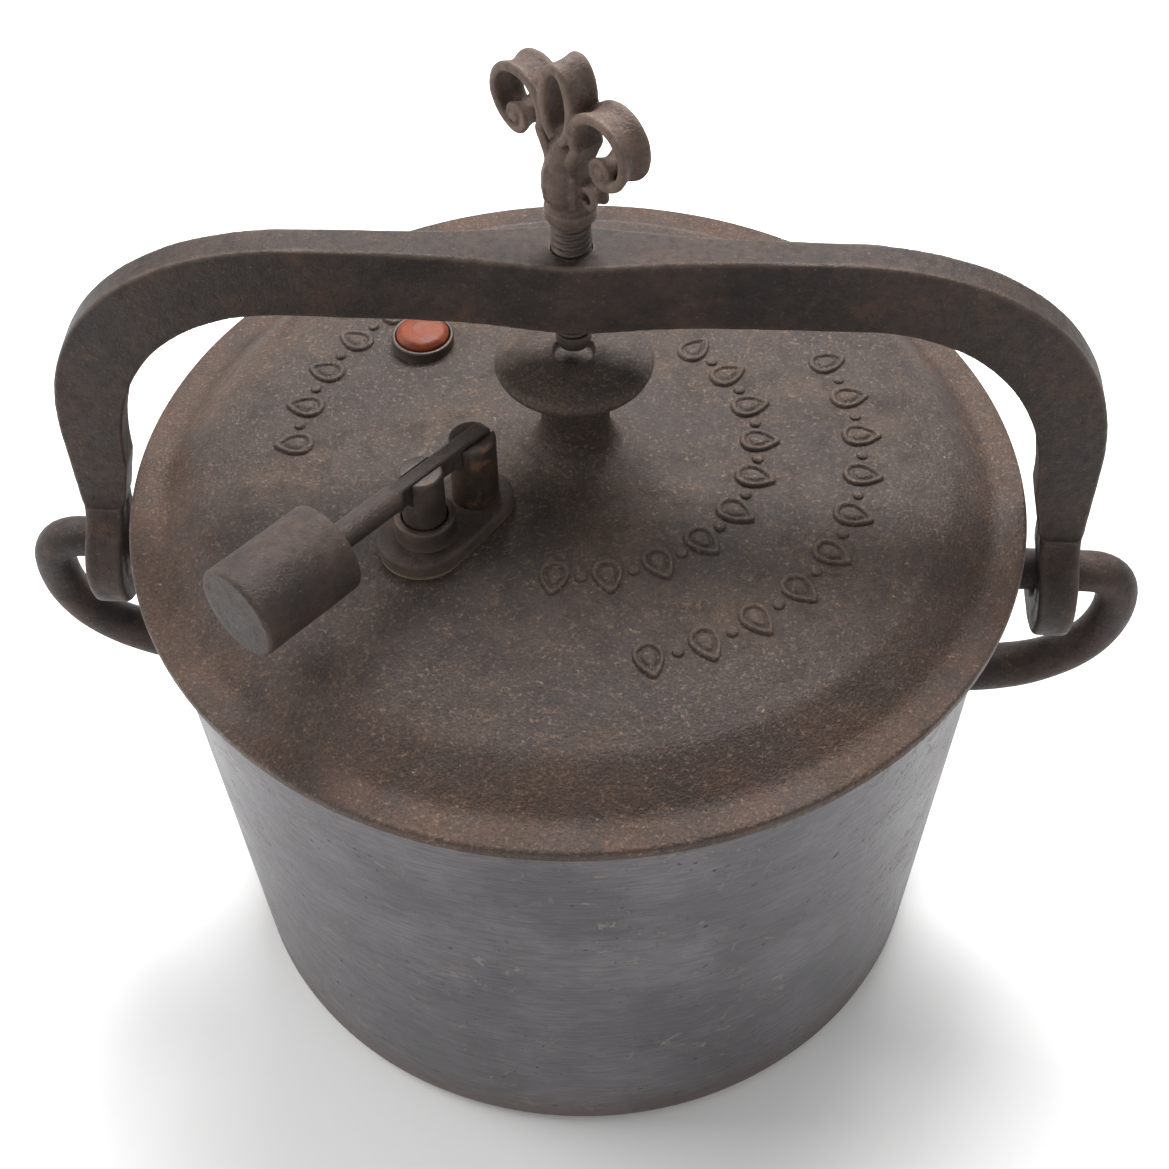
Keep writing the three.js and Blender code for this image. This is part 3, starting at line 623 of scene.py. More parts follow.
def lid():
    radius, top, foot = lid_high.x, LID_TOP, lid_low.z
    under = box_mm("seat_nut")[1].z + GAP
    spigot, inner = 130, 124
    lower = [
        (0, under, 0), (94, under, 12), (113, under - 3, 6), (inner - 1, top + 3, 4), (inner, foot, 0.8),
        (spigot, foot, 1.2), (spigot, top - FLANGE, 0.5), (radius, top - FLANGE, 1.0), (radius, top, 1.4),
        (radius - 11, top, 8), (radius - 25.5, top + SHOULDER_RISE, 11),
    ]
    crown = [(r, top + dome(r), 0) for r in (108, 96, 84, 72, 60, 48, 36, 24, 12, 0)]
    piece = turned("lid_dome", lower + crown, 256, longest=3.5, wave=cast_wave(48, 0.4))
    seat = centre_mm("valve_seat")
    relief = centre_mm("relief_seat")
    bored(piece, [
        (hole.x, hole.y, radius, under - 5, top + CROWN + 5) for hole, radius in ((seat, 5.9), (relief, 7.4))
    ])
    return finished(piece, finishes["lid_iron"], "lid", "lid_iron", "lid_casting")


lid()

# %% [markdown]
# ## Raised ornament on the lid
# The founder pressed small marks into the sand, so the lid carries them in relief: here a leaf, a
# bead, and so on round three arcs. What repeats along a rule is work for Geometry Nodes. One mark is
# made as a small mesh. A tree places it along an arc and turns each copy outwards. The arc's radius,
# height, start, step, count and lean are the tree's inputs.

# %% A node tree with named inputs


def geometry_tree(name, inputs):
    """A geometry tree with named inputs. Gives it with a Term for each of them."""
    tree = bpy.data.node_groups.new(name, "GeometryNodeTree")
    tree.interface.new_socket("Geometry", in_out="OUTPUT", socket_type="NodeSocketGeometry")
    for label, kind in inputs:
        tree.interface.new_socket(label, in_out="INPUT", socket_type=kind)
    source = tree.nodes.new("NodeGroupInput")
    return tree, {label: Term(tree, source.outputs[label]) for label, _ in inputs}


def ends_in(tree, geometry, material):
    """Ends a tree in Realize Instances and Set Material."""
    real = geometry.node("GeometryNodeRealizeInstances", None, {"Geometry": geometry})
    painted = real.node("GeometryNodeSetMaterial", None, {"Geometry": real, "Material": material})
    output = tree.nodes.new("NodeGroupOutput")
    tree.links.new(output.inputs["Geometry"], painted.socket)


def grown(name, tree, values):
    """Runs a tree on an empty mesh and keeps the result as a plain mesh."""
    piece = new_object(name, [], [])
    modifier = piece.modifiers.new(name, "NODES")
    modifier.node_group = tree
    for item in tree.interface.items_tree:
        if item.in_out == "INPUT" and item.name in values:
            modifier[item.identifier] = values[item.name]
    return apply_modifiers(piece)


# %% One leaf and one bead


def relief_mark(name, outline, levels):
    """A relief from an outline: levels give the share of the outline's size and the height there."""
    count = len(outline)
    verts = [Vector((x * share, y * share, z)) for share, z in levels for x, y in outline]
    faces = between_rings(count, len(levels))
    last = count * (len(levels) - 1)
    verts.append(Vector((0, 0, levels[-1][1])))
    faces += [(last + k, last + (k + 1) % count, len(verts) - 1) for k in range(count)]
    faces.append(tuple(reversed(range(count))))
    piece = new_object(name, verts, faces)
    piece.data.shade_smooth()
    return piece


def leaf(length=14.6, width=9.6, steps=48):
    """A broad leaf with a pointed tip towards +X, round its own middle."""
    outline = []
    for k in range(steps):
        angle = 2 * math.pi * k / steps
        point = 0.16 * max(0.0, math.cos(angle)) ** 6
        outline.append((
            length / 2 * (math.cos(angle) * (0.86 + point)),
            width / 2 * math.sin(angle) * (1 - 0.22 * math.cos(angle)),
        ))
    return outline


def bead(radius=2.0):
    return [(radius * math.cos(math.pi * k / 8), radius * math.sin(math.pi * k / 8)) for k in range(16)]


# A leaf has a raised border, a sunk ground and a raised kernel. A bead is a plain low button.
LEAF_LEVELS = (
    (1.1, -1.3), (1.0, 0.0), (0.96, 0.95), (0.89, 1.35), (0.78, 1.35), (0.69, 0.9), (0.64, 0.45),
    (0.54, 0.4), (0.46, 0.9), (0.34, 1.35), (0.16, 1.5),
)
BEAD_LEVELS = ((1.1, -1.3), (1.0, 0.0), (0.93, 0.6), (0.75, 1.0), (0.4, 1.2))


# %% The arc tree


def arc_of_marks(mark, material):
    """Places a mark along an arc of the dome. Angles are in radians, lengths in metres."""
    tree, given = geometry_tree("arc_of_" + mark.name, [
        ("Radius", "NodeSocketFloat"), ("Height", "NodeSocketFloat"), ("Start", "NodeSocketFloat"),
        ("Step", "NodeSocketFloat"), ("Count", "NodeSocketInt"), ("Lean", "NodeSocketFloat"),
    ])
    start = given["Start"]
    points = start.node("GeometryNodeMeshLine", None, {"Count": given["Count"], "Offset": (0, 0, 0)})
    angle = start + given["Step"] * start.node("GeometryNodeInputIndex")
    place = start.node("ShaderNodeCombineXYZ", None, {
        0: given["Radius"] * angle.maths("COSINE", angle), 1: given["Radius"] * angle.maths("SINE", angle),
        2: given["Height"],
    })
    points = start.node("GeometryNodeSetPosition", None, {"Geometry": points, "Position": place})
    facing = start.node("ShaderNodeCombineXYZ", None, {1: given["Lean"], 2: angle})
    source = start.node("GeometryNodeObjectInfo", {"transform_space": "ORIGINAL"}, {"Object": mark}, output=4)
    marks = start.node("GeometryNodeInstanceOnPoints", None, {
        "Points": points, "Instance": source, "Rotation": facing,
    })
    ends_in(tree, marks, material)
    return tree


def ornament():
    leaf_mark = relief_mark("leaf", leaf(), LEAF_LEVELS)
    bead_mark = relief_mark("bead", bead(), BEAD_LEVELS)
    arcs = [
        ("inner", 60, -93, 16.0, 10), ("outer", 94, -73, 11.2, 10), ("left", 93, 104, 11.2, 8),
    ]
    made = []
    for mark, shift in ((leaf_mark, 0.0), (bead_mark, 0.5)):
        tree = arc_of_marks(mark, finishes["lid_iron"])
        for name, radius, start, step, count in arcs:
            slope = math.atan2(dome(radius + 3) - dome(radius - 3), 6)
            made.append(grown(f"relief_{name}_{mark.name}", tree, {
                "Radius": radius * MM, "Height": (LID_TOP + dome(radius) - 0.25) * MM,
                "Start": math.radians(start + step * shift), "Step": math.radians(step),
                "Count": count if shift == 0 else count - 1, "Lean": -slope,
            }))
    for mark in (leaf_mark, bead_mark):
        bpy.data.objects.remove(mark)
    for piece in made:
        mark_wear_and_highlight(piece, 1.4, passes=1)
        finished(piece, finishes["lid_iron"], "lid", "lid_iron", crisp=60)


ornament()

# %% [markdown]
# ## The pressing knob
# A mushroom takes the screw's thrust in the middle of the lid. It is cast, so every corner is soft, and
# a recess in its top keeps the screw's nose centred.

# %% Pressing knob


def knob():
    low, high = box_mm("pressing_knob")
    radius, top = high.x, high.z
    foot = LID_TOP + dome(17) - 0.3
    corners = [
        (0, low.z, 0), (9.5, low.z, 1.5), (9.5, low.z + 3, 0.4), (6, low.z + 3, 0.4), (6, foot, 0),
        (21, foot, 0), (20.4, foot + 0.3, 0.3), (13.5, foot + 1.6, 6), (11.2, foot + 9, 8),
        (11.2, foot + 14, 6), (13, top - 10, 4), (19, top - 8.6, 3), (radius - 1, top - 7, 2),
        (radius, top - 4.6, 1.8), (radius - 1.2, top - 2.4, 2.4), (radius * 0.7, top - 1.0, 12),
        (8.6, top - 0.1, 3), (6.8, top - 0.5, 0.6), (6.1, top - 3, 0.8), (0, top - 3, 0),
    ]
    piece = turned("pressing_mushroom", corners, 96, longest=2.0, wave=cast_wave(14, 0.3))
    mark_wear_and_highlight(piece, 1.2)
    return finished(piece, finishes["lid_iron"], "lid", "lid_iron", "pressing_knob")


knob()

# %% [markdown]
# ## The lever safety valve
# A plate is let into the dome. A slotted post stands at one end, the valve's seat at the other. The
# lever is pinned in the post, lies in the plunger's slot, and holds the plunger down with the weight on
# its round end. Everything here is drawn along +X and then turned to the lever's real direction.

# %% The valve's own frame

post_centre = centre_mm("fulcrum_post")
seat_centre = centre_mm("valve_seat")
lever_direction = (seat_centre - post_centre).xy
valve_angle = math.atan2(lever_direction.y, lever_direction.x)
throw = lever_direction.length
valve_place = Matrix.Translation((post_centre.x * MM, post_centre.y * MM, 0))
valve_frame = valve_place @ Matrix.Rotation(valve_angle, 4, "Z")
print(f"the lever points {math.degrees(valve_angle):.1f} degrees round from +X, throw {throw:.1f} mm")


def in_valve_frame(piece):
    piece.data.transform(valve_frame)
    return piece


def extruded(name, outline, levels):
    """Stacks copies of a flat outline. outline gives the points for an inset, and levels are (inset, z)."""
    rings = [outline(inset) for inset, _ in levels]
    count = len(rings[0])
    verts = [Vector((x, y, z)) for ring, (_, z) in zip(rings, levels) for x, y in ring]
    faces = between_rings(count, len(levels))
    last = count * (len(levels) - 1)
    faces += [tuple(reversed(range(count))), tuple(range(last, last + count))]
    return facing_out(new_object(name, verts, faces))


def stadium(x0, r0, x1, r1, steps=28):
    """Two round ends with straight sides between them, as a function of an inset."""
    lean = math.asin((r1 - r0) / (x1 - x0))

    def outline(inset):
        points = []
        for x, r, start in ((x1, r1, -math.pi / 2 - lean), (x0, r0, math.pi / 2 + lean)):
            sweep = math.pi + 2 * lean if x == x1 else math.pi - 2 * lean
            angles = [start + sweep * k / steps for k in range(steps + 1)]
            points += [(x + (r - inset) * math.cos(a), (r - inset) * math.sin(a)) for a in angles]
        return points

    return outline


# %% Plate, gasket, post, seat and plunger


def upright_box(name, x0, x1, y0, y1, z0, z1):
    verts = [(x, y, z) for z in (z0, z1) for x, y in ((x0, y0), (x1, y0), (x1, y1), (x0, y1))]
    faces = [(3, 2, 1, 0), (4, 5, 6, 7)] + [(k, (k + 1) % 4, (k + 1) % 4 + 4, k + 4) for k in range(4)]
    return new_object(name, verts, faces)


def eased(piece, width):
    """Breaks the edges sharper than 40 degrees with a bevel."""
    modifier = piece.modifiers.new("ease", "BEVEL")
    modifier.width = width * MM
    modifier.segments = 2
    modifier.limit_method = "ANGLE"
    modifier.angle_limit = math.radians(40)
    return apply_modifiers(piece)


lever_low, lever_high = box_mm("lever_arm")
LEVER_AXIS = (lever_low.z + lever_high.z) / 2
SLOT = 5.6


def valve_plate():
    low, high = box_mm("valve_plate")
    levels = [(0, low.z), (0, high.z - 1.2), (0.25, high.z - 0.5), (0.9, high.z - 0.1), (1.6, high.z)]
    piece = in_valve_frame(extruded("valve_foot_plate", stadium(0, 12, throw + 2, 14.2), levels))
    mark_wear_and_highlight(piece, 1.0)
    return finished(piece, finishes["forged_iron"], "lid", "forged_iron", "valve_plate", crisp=50)


def post():
    low, high = box_mm("fulcrum_post")
    plate_top = box_mm("valve_plate")[1].z
    corners = [
        (0, low.z, 0), (4, low.z, 0.3), (4, plate_top, 0), (7.5, plate_top, 0), (7.5, high.z, 0.9),
        (0, high.z, 0),
    ]
    piece = turned("slotted_post", corners, 64, longest=2.5)
    cut_by(piece, upright_box("slot", -9, 9, -SLOT / 2, SLOT / 2, lever_low.z - 2.3, high.z + 1))
    eased(piece, 0.35)
    mark_wear_and_highlight(piece, 1.0)
    return finished(in_valve_frame(piece), finishes["rusty_steel"], "lid", "rusty_steel", "fulcrum_post")


def seat():
    low, high = box_mm("valve_seat")
    foot = box_mm("valve_plate")[1].z
    corners = [
        (3.5, low.z, 0), (6, low.z, 0.3), (6, foot, 0), (9.7, foot, 0), (9.7, high.z, 0.9),
        (7.3, high.z, 0.5), (7.3, foot + 4, 0.5), (3.5, foot + 1.4, 0.3),
    ]
    piece = turned("steam_seat", corners, 72, closed=True, longest=2, centre=(seat_centre.x, seat_centre.y))
    mark_wear_and_highlight(piece, 1.0)
    return finished(piece, finishes["steel"], "lid", "steel", "valve_seat")


def plunger():
    low, high = box_mm("valve_plunger")
    corners = [(0, low.z, 0), (3.2, low.z, 0.3), (6.9, low.z + 2.5, 0.4), (6.9, high.z, 0.9), (0, high.z, 0)]
    piece = turned("plunger_plug", corners, 64, longest=2.5)
    floor = lever_low.z - 0.4
    slot = new_object("slot", [
        (x, y, z)
        for y in (-SLOT / 2, SLOT / 2)
        for x, z in ((-9, high.z + 1), (-9, floor - 1.6), (0, floor), (9, floor - 1.6), (9, high.z + 1))
    ], [(0, 1, 2, 3, 4), (9, 8, 7, 6, 5)] + [(k, k + 5, (k + 1) % 5 + 5, (k + 1) % 5) for k in range(5)])
    cut_by(piece, facing_out(slot))
    eased(piece, 0.3)
    mark_wear_and_highlight(piece, 1.0)
    piece.data.transform(Matrix.Translation((throw * MM, 0, 0)))
    return finished(in_valve_frame(piece), finishes["steel"], "plunger", "steel", "valve_plunger")


valve_plate()
post()
seat()
plunger()

# %% [markdown]
# The lever is one bar: a smith left it flat where it passes through the slots and drew the rest out
# round. So it is lofted, with sections that change from a rounded rectangle to a circle.

# %% Lever and weight


def loft(name, sections):
    """Skins sections, each a list of points in millimetres with the same count, and closes both ends."""
    count = len(sections[0])
    verts = [Vector(p) for section in sections for p in section]
    faces = between_rings(count, len(sections))
    last = count * (len(sections) - 1)
    for ring, order in ((0, 1), (last, -1)):
        verts.append(sum((verts[ring + k] for k in range(count)), Vector()) / count)
        for k in range(count):
            face = (ring + k, len(verts) - 1, ring + (k + 1) % count)
            faces.append(face[::order])
    return facing_out(new_object(name, verts, faces))


def soft_rectangle(width, height, radius, per_side=6, per_corner=4):
    """A rectangle with round corners, as offsets from its middle, evenly spread along each side."""
    radius = min(radius, width / 2 - 1e-3, height / 2 - 1e-3)
    points = []
    for quarter in range(4):
        sx, sy = ((1, 1), (-1, 1), (-1, -1), (1, -1))[quarter]
        cx, cy = sx * (width / 2 - radius), sy * (height / 2 - radius)
        start = math.pi / 2 * quarter
        corner = [
            (cx + radius * math.cos(start + math.pi / 2 * k / per_corner),
             cy + radius * math.sin(start + math.pi / 2 * k / per_corner))
            for k in range(per_corner + 1)
        ]
        nx, ny = ((-1, 1), (-1, -1), (1, -1), (1, 1))[quarter]
        if quarter % 2 == 0:
            end = (nx * (width / 2 - radius), ny * height / 2)
        else:
            end = (nx * width / 2, ny * (height / 2 - radius))
        x, y = corner[-1]
        points += corner
        points += [
            (x + (end[0] - x) * k / per_side, y + (end[1] - y) * k / per_side) for k in range(1, per_side)
        ]
    return points


def lever():
    rod = 4.4
    flat_end = throw + 12
    weight_low = 60
    stations = [
        (-6, 4.2, 5.0, 0.5), (-5.4, 4.8, 6.6, 0.8), (-4, 5, 7.6, 0.8), (flat_end - 4, 5, 7.6, 0.8),
        (flat_end - 2.5, 5.4, 8.0, 1.2), (flat_end - 0.5, 8.2, 8.6, 3.0), (flat_end + 1, 8.8, 8.8, rod),
        (weight_low + 29, 8.8, 8.8, rod),
    ]
    sections = []
    for (x0, *a), (x1, *b) in zip(stations, stations[1:]):
        parts = max(1, math.ceil((x1 - x0) / 2.5))
        for k in range(parts):
            t = k / parts
            width, height, radius = (p + (q - p) * t for p, q in zip(a, b))
            sections.append([(x0 + (x1 - x0) * t, y, LEVER_AXIS - 0.4 * (height < 8.7) + z)
                             for y, z in soft_rectangle(width, height, radius)])
    piece = loft("lever_bar", sections)
    mark_wear_and_highlight(piece, 1.3)
    in_valve_frame(piece)
    return finished(piece, finishes["forged_iron"], "lever", "forged_iron", "lever_arm", crisp=55)


def weight():
    start, end, radius, bore = 60, 96, 15, 4.7
    corners = [
        (0, end - 5.7, 0), (bore, end - 5.7, 0.3), (bore, start, 0.3), (radius - 0.2, start, 1.3),
        (radius, end, 1.5), (0, end - 0.2, 0),
    ]
    piece = turned("lever_counterweight", corners, 96, longest=2.0)
    piece.data.transform(Matrix.Translation((0, 0, LEVER_AXIS * MM)) @ Matrix.Rotation(math.pi / 2, 4, "Y"))
    mark_wear_and_highlight(piece, 1.4)
    return finished(in_valve_frame(piece), finishes["forged_iron"], "lever", "forged_iron", "lever_weight")


lever()
weight()

# %% [markdown]
# ## The relief plug
# A collar is let into the dome and nutted inside. The plug only rests in it, and its round head
# overlaps the cup.

# %% Relief seat and plug


def relief():
    low, high = box_mm("relief_seat")
    middle = centre_mm("relief_seat")
    foot = high.z - 4.3
    corners = [
        (5.5, low.z, 0), (7.3, low.z, 0.3), (7.3, foot - 0.3, 0), (10.7, foot - 0.3, 0), (10.7, high.z, 1.3),
        (9.4, high.z, 0.5), (9.4, high.z - 3, 0.3), (5.5, high.z - 3, 0.3),
    ]
    collar = turned("relief_collar", corners, 72, closed=True, longest=2, centre=(middle.x, middle.y))
    mark_wear_and_highlight(collar, 1.0)
    finished(collar, finishes["steel"], "lid", "steel", "relief_seat")
    low, high = box_mm("relief_plug")
    top = high.z
    corners = [
        (0, low.z, 0), (5.2, low.z, 1.5), (5.2, low.z + 8, 0.3), (9.1, low.z + 8, 0.4), (9.1, top - 2.4, 1.2),
        (7.6, top - 0.8, 2.5), (3, top, 3), (0, top, 0),
    ]
    plug = turned("relief_stopper", corners, 72, longest=2, centre=(middle.x, middle.y))
    finished(plug, finishes["plug_rubber"], "plug", "plug_rubber", "relief_plug")


relief()

# %% [markdown]
# ## The yoke
# The yoke was forged from one bar. It is level across the top, bows down into two arms, and each arm's
# end is bent forward and back under an ear. A bar that follows a path is a loft: a path, and at each
# step a section that turns with it. The bar swells round the screw and thins at the hooks.

# %% The yoke's path

yoke_low, yoke_high = box_mm("yoke_bar")
ear_high = box_mm("ear_right")[1]
BAR_DEPTH = 26.5
ARM = 20
EAR_BAR = LID_TOP - 36


def bezier(a, b, c, d, steps):
    """Points along a cubic curve from a to d, all of them two numbers, without its last point."""
    a, b, c, d = (Vector((*p, 0)) for p in (a, b, c, d))
    return [
        a * (1 - t) ** 3 + b * 3 * t * (1 - t) ** 2 + c * 3 * t * t * (1 - t) + d * t ** 3
        for t in (k / steps for k in range(steps))
    ]


def evened(points, spacing):
    """The same line with evenly spaced points."""
    lengths = [0.0]
    for p, q in zip(points, points[1:]):
        lengths.append(lengths[-1] + (q - p).length)
    count = max(2, round(lengths[-1] / spacing))
    result = []
    k = 0
    for step in range(count + 1):
        goal = lengths[-1] * step / count
        while k < len(lengths) - 2 and lengths[k + 1] < goal:
            k += 1
        share = (goal - lengths[k]) / max(lengths[k + 1] - lengths[k], 1e-9)
        result.append(points[k].lerp(points[k + 1], share))
    return result


def yoke_sides():
    """The outer and the inner line of the bow, as they look from the front, from the middle to the crease."""
    top, outer = yoke_high.z, yoke_high.x
    under = top - BAR_DEPTH
    inner = outer - ARM
    crease = LID_TOP - 13
    over = [Vector((x, top, 0)) for x in (0, 20, 40, 60)]
    over += bezier((outer - 91, top), (outer - 41, top), (outer, top - 25), (outer, top - 80), 60)
    over += [Vector((outer, top - 80, 0)), Vector((outer - 0.4, crease, 0))]
    below = [Vector((x, under, 0)) for x in (0, 20, 40, 60)]
    below += bezier((inner - 61, under), (inner - 29, under), (inner, under - 22), (inner, under - 69), 60)
    below += [Vector((inner, under - 69, 0)), Vector((outer - 16.2, crease, 0))]
    return over, below


def matched(over, below, count):
    """Pairs points of the two lines, each at the same share of its own length."""
    lines = []
    for line in (over, below):
        length = sum((q - p).length for p, q in zip(line, line[1:]))
        lines.append(evened(line, length / count))
    return list(zip(*lines))


print(f"the yoke is {2 * yoke_high.x:.0f} mm wide, its top {yoke_high.z:.0f} mm above the floor")

# %% The yoke's sections


def bar_section(a, b, depth, corner):
    """A section between two points of the front view, that deep along Y."""
    middle = (a + b) / 2
    across = a - b
    width = across.length
    direction = across.normalized()
    return [
        (middle.x + direction.x * u, v, middle.y + direction.y * u)
        for u, v in soft_rectangle(width, depth, corner, per_side=9)
    ]


def boss_depth(x):
    """The bar is 12 deep and swells to 20.9 round the screw, with a low, wide rise round that swell."""
    swell = math.exp(-((x / 26) ** 2)) * 8.2 + math.exp(-((x / 52) ** 2)) * 0.7
    return 12 + swell


def hook_sections(side):
    """From the crease down the front of the ear, round under it and back."""
    x_out = yoke_high.x
    throat = -8.4
    crease = LID_TOP - 13
    bottom = yoke_low.z
    front_line = [Vector((-7.3, crease, 0))]
    front_line += bezier((-7.6, crease - 1), (-9, crease - 9), (-22, crease - 11), (-22, EAR_BAR - 2), 30)
    front_line += bezier((-22, EAR_BAR - 2), (-22, EAR_BAR - 14), (-14, bottom), (-1, bottom), 30)
    front_line += [Vector((-1, bottom, 0)), Vector((18.6, bottom + 1, 0))]
    back_line = [Vector((6, crease, 0)), Vector((6, EAR_BAR + 14.5, 0))]
    upper, lower = EAR_BAR + 3, EAR_BAR - 8.1
    back_line += bezier((5, EAR_BAR + 13), (-2, EAR_BAR + 11.5), (throat, EAR_BAR + 10), (throat, upper), 20)
    back_line += bezier((throat, upper), (throat, EAR_BAR - 6), (-6, lower), (0, lower), 20)
    back_line += [Vector((0, lower, 0)), Vector((18.6, EAR_BAR - 9.4, 0))]
    sections = []
    pairs = matched(front_line, back_line, 84)
    for k, (front, back) in enumerate(pairs[1:], 1):
        t = k / (len(pairs) - 1)
        width = 15.6 - 1.8 * math.sin(min(1, t * 1.4) * math.pi / 2)
        middle = (front + back) / 2
        across = front - back
        direction = across.normalized()
        x_middle = x_out - 0.4 - width / 2
        sections.append([
            (side * (x_middle + v * (0.94 if u > 0 else 1)), middle.x + direction.x * u,
             middle.y + direction.y * u)
            for u, v in soft_rectangle(across.length, width, 2.6, per_side=9)
        ])
    return sections


def half_yoke(side):
    over, below = yoke_sides()
    sections = []
    for a, b in matched(over, below, 190):
        x = (a.x + b.x) / 2
        section = bar_section(a, b, boss_depth(x), 0.9)
        sections.append([(side * p[0], p[1], p[2]) for p in section])
    return sections


# %% Skins and hammer marks


def remeshed(piece, voxel, smoothing):
    """Joins overlapping closed shells into one even skin, and softens it a little."""
    modifier = piece.modifiers.new("skin", "REMESH")
    modifier.mode = "VOXEL"
    modifier.voxel_size = voxel * MM
    apply_modifiers(piece)
    modifier = piece.modifiers.new("soften", "SMOOTH")
    modifier.factor = 0.5
    modifier.iterations = smoothing
    return apply_modifiers(piece)


def joined(name, pieces):
    """Several objects as one."""
    verts, faces = [], []
    for piece in pieces:
        start = len(verts)
        verts += [tuple(v.co / MM) for v in piece.data.vertices]
        faces += [tuple(start + i for i in p.vertices) for p in piece.data.polygons]
        bpy.data.objects.remove(piece)
    return new_object(name, verts, faces)


def hammered(piece, size, depth):
    """Sinks shallow hammer faces into the skin. It only ever goes inwards."""
    mesh = piece.data
    count = len(mesh.vertices)
    co, normal = np.empty(count * 3, np.float32), np.empty(count * 3, np.float32)
    mesh.vertices.foreach_get("co", co)
    mesh.vertices.foreach_get("normal", normal)
    co, normal = co.reshape(-1, 3), normal.reshape(-1, 3)
    dents = []
    for point in co / MM:
        dent = 0.5 + 0.5 * noise.noise(Vector(point) / size)
        facet = noise.voronoi(Vector(point) / (size * 0.6))[0][0]
        dents.append(0.6 * dent + 0.4 * min(facet, 1))
    co -= normal * np.array(dents)[:, None] * depth * MM
    mesh.vertices.foreach_set("co", co.ravel())
    mesh.update()
    return piece


# %% Yoke


def yoke():
    shells = []
    for side in (1, -1):
        shells.append(loft(f"bow_{side}", half_yoke(side)))
        shells.append(loft(f"hook_{side}", hook_sections(side)))
    piece = remeshed(joined("forged_yoke", shells), 0.75, smoothing=1)
    hammered(piece, 16, 0.55)
    bored(piece, [(0, 0, 6.5, yoke_high.z - BAR_DEPTH - 3, yoke_high.z + 3)])
    # A strong, narrow setting: besides the edge wear, it paints a bright highlight line along the bar's
    # edges.
    mark_wear_and_highlight(piece, 3.0, passes=1)
    return finished(piece, finishes["forged_iron"], "yoke", "forged_iron", "yoke_bar", crisp=50)


yoke()

# %% [markdown]
# ## The ears
# Each ear is a round bar that leaves the wall, turns down and comes back to it, thicker at its foot.
# A tube along a curve is what Curve to Mesh does: the tree takes the bar's radius at its top and at its
# foot as inputs. The two ears are the same bar, turned round.

# %% Ears


def ear_tree(material):
    tree, given = geometry_tree("ear_bar", [
        ("Bar radius", "NodeSocketFloat"), ("Foot radius", "NodeSocketFloat"), ("Path", "NodeSocketObject"),
        ("Turn", "NodeSocketFloat"),
    ])
    radius = given["Bar radius"]
    path = radius.node(
        "GeometryNodeObjectInfo", {"transform_space": "ORIGINAL"}, {"Object": given["Path"]}, output=4,
    )
    curve = radius.node("GeometryNodeMeshToCurve", None, {"Mesh": path})
    along = radius.node("GeometryNodeSplineParameter", None, None, output=0)
    swell = along.ramp(0.55, 1.0)
    share = radius + (given["Foot radius"] - radius) * swell
    curve = radius.node("GeometryNodeSetCurveRadius", None, {"Curve": curve, "Radius": share})
    ring = radius.node("GeometryNodeCurvePrimitiveCircle", None, {"Resolution": 40, "Radius": 1.0})
    tube = radius.node("GeometryNodeCurveToMesh", None, {
        "Curve": curve, "Profile Curve": ring, "Fill Caps": True,
    })
    if "Scale" in tube.socket.node.inputs:
        tree.links.new(tube.socket.node.inputs["Scale"], share.socket)
    rotation = radius.node("ShaderNodeCombineXYZ", None, {2: given["Turn"]})
    turned_tube = radius.node("GeometryNodeTransform", None, {"Geometry": tube, "Rotation": rotation})
    ends_in(tree, turned_tube, material)
    return tree


def ears():
    bar = 7.4
    outer = ear_high.x - bar - 0.05
    upper, lower = EAR_BAR, LID_TOP - 91
    wall_upper, wall_lower = 138, 132
    line = [Vector((wall_upper, 0, upper)), Vector((160, 0, upper))]
    bend = bezier((outer - 12, upper), (outer - 4, upper), (outer, upper - 5), (outer, upper - 14), 16)
    foot = wall_lower + 4
    bend += bezier((outer, upper - 14), (outer, upper - 42), (foot + 29, lower), (foot, lower), 40)
    line += [Vector((x, 0, z)) for x, z, _ in bend]
    line = evened(line + [Vector((wall_lower, 0, lower))], 2.0)
    path = new_object("ear_path", line, [])
    path.data.edges.add(len(line) - 1)
    for k, edge in enumerate(path.data.edges):
        edge.vertices = (k, k + 1)
    tree = ear_tree(finishes["forged_iron"])
    for name, node, turn in (("ear_bar_right", "ear_right", 0.0), ("ear_bar_left", "ear_left", math.pi)):
        piece = grown(name, tree, {
            "Bar radius": bar * MM, "Foot radius": 9.0 * MM, "Path": path, "Turn": turn,
        })
        facing_out(piece)
        hammered(piece, 14, 0.35)
        finished(piece, finishes["forged_iron"], "pot", "forged_iron", node)
    bpy.data.objects.remove(path)


ears()

# %% [markdown]
# ## The clamp screw
# A screw thread is a rule: the radius depends only on how far a point is along the helix. So the tree
# starts from a plain cylinder of many faces and moves each point in or out by that rule. Its inputs are
# the screw's radius, the thread's depth and its pitch.

# %% Clamp screw


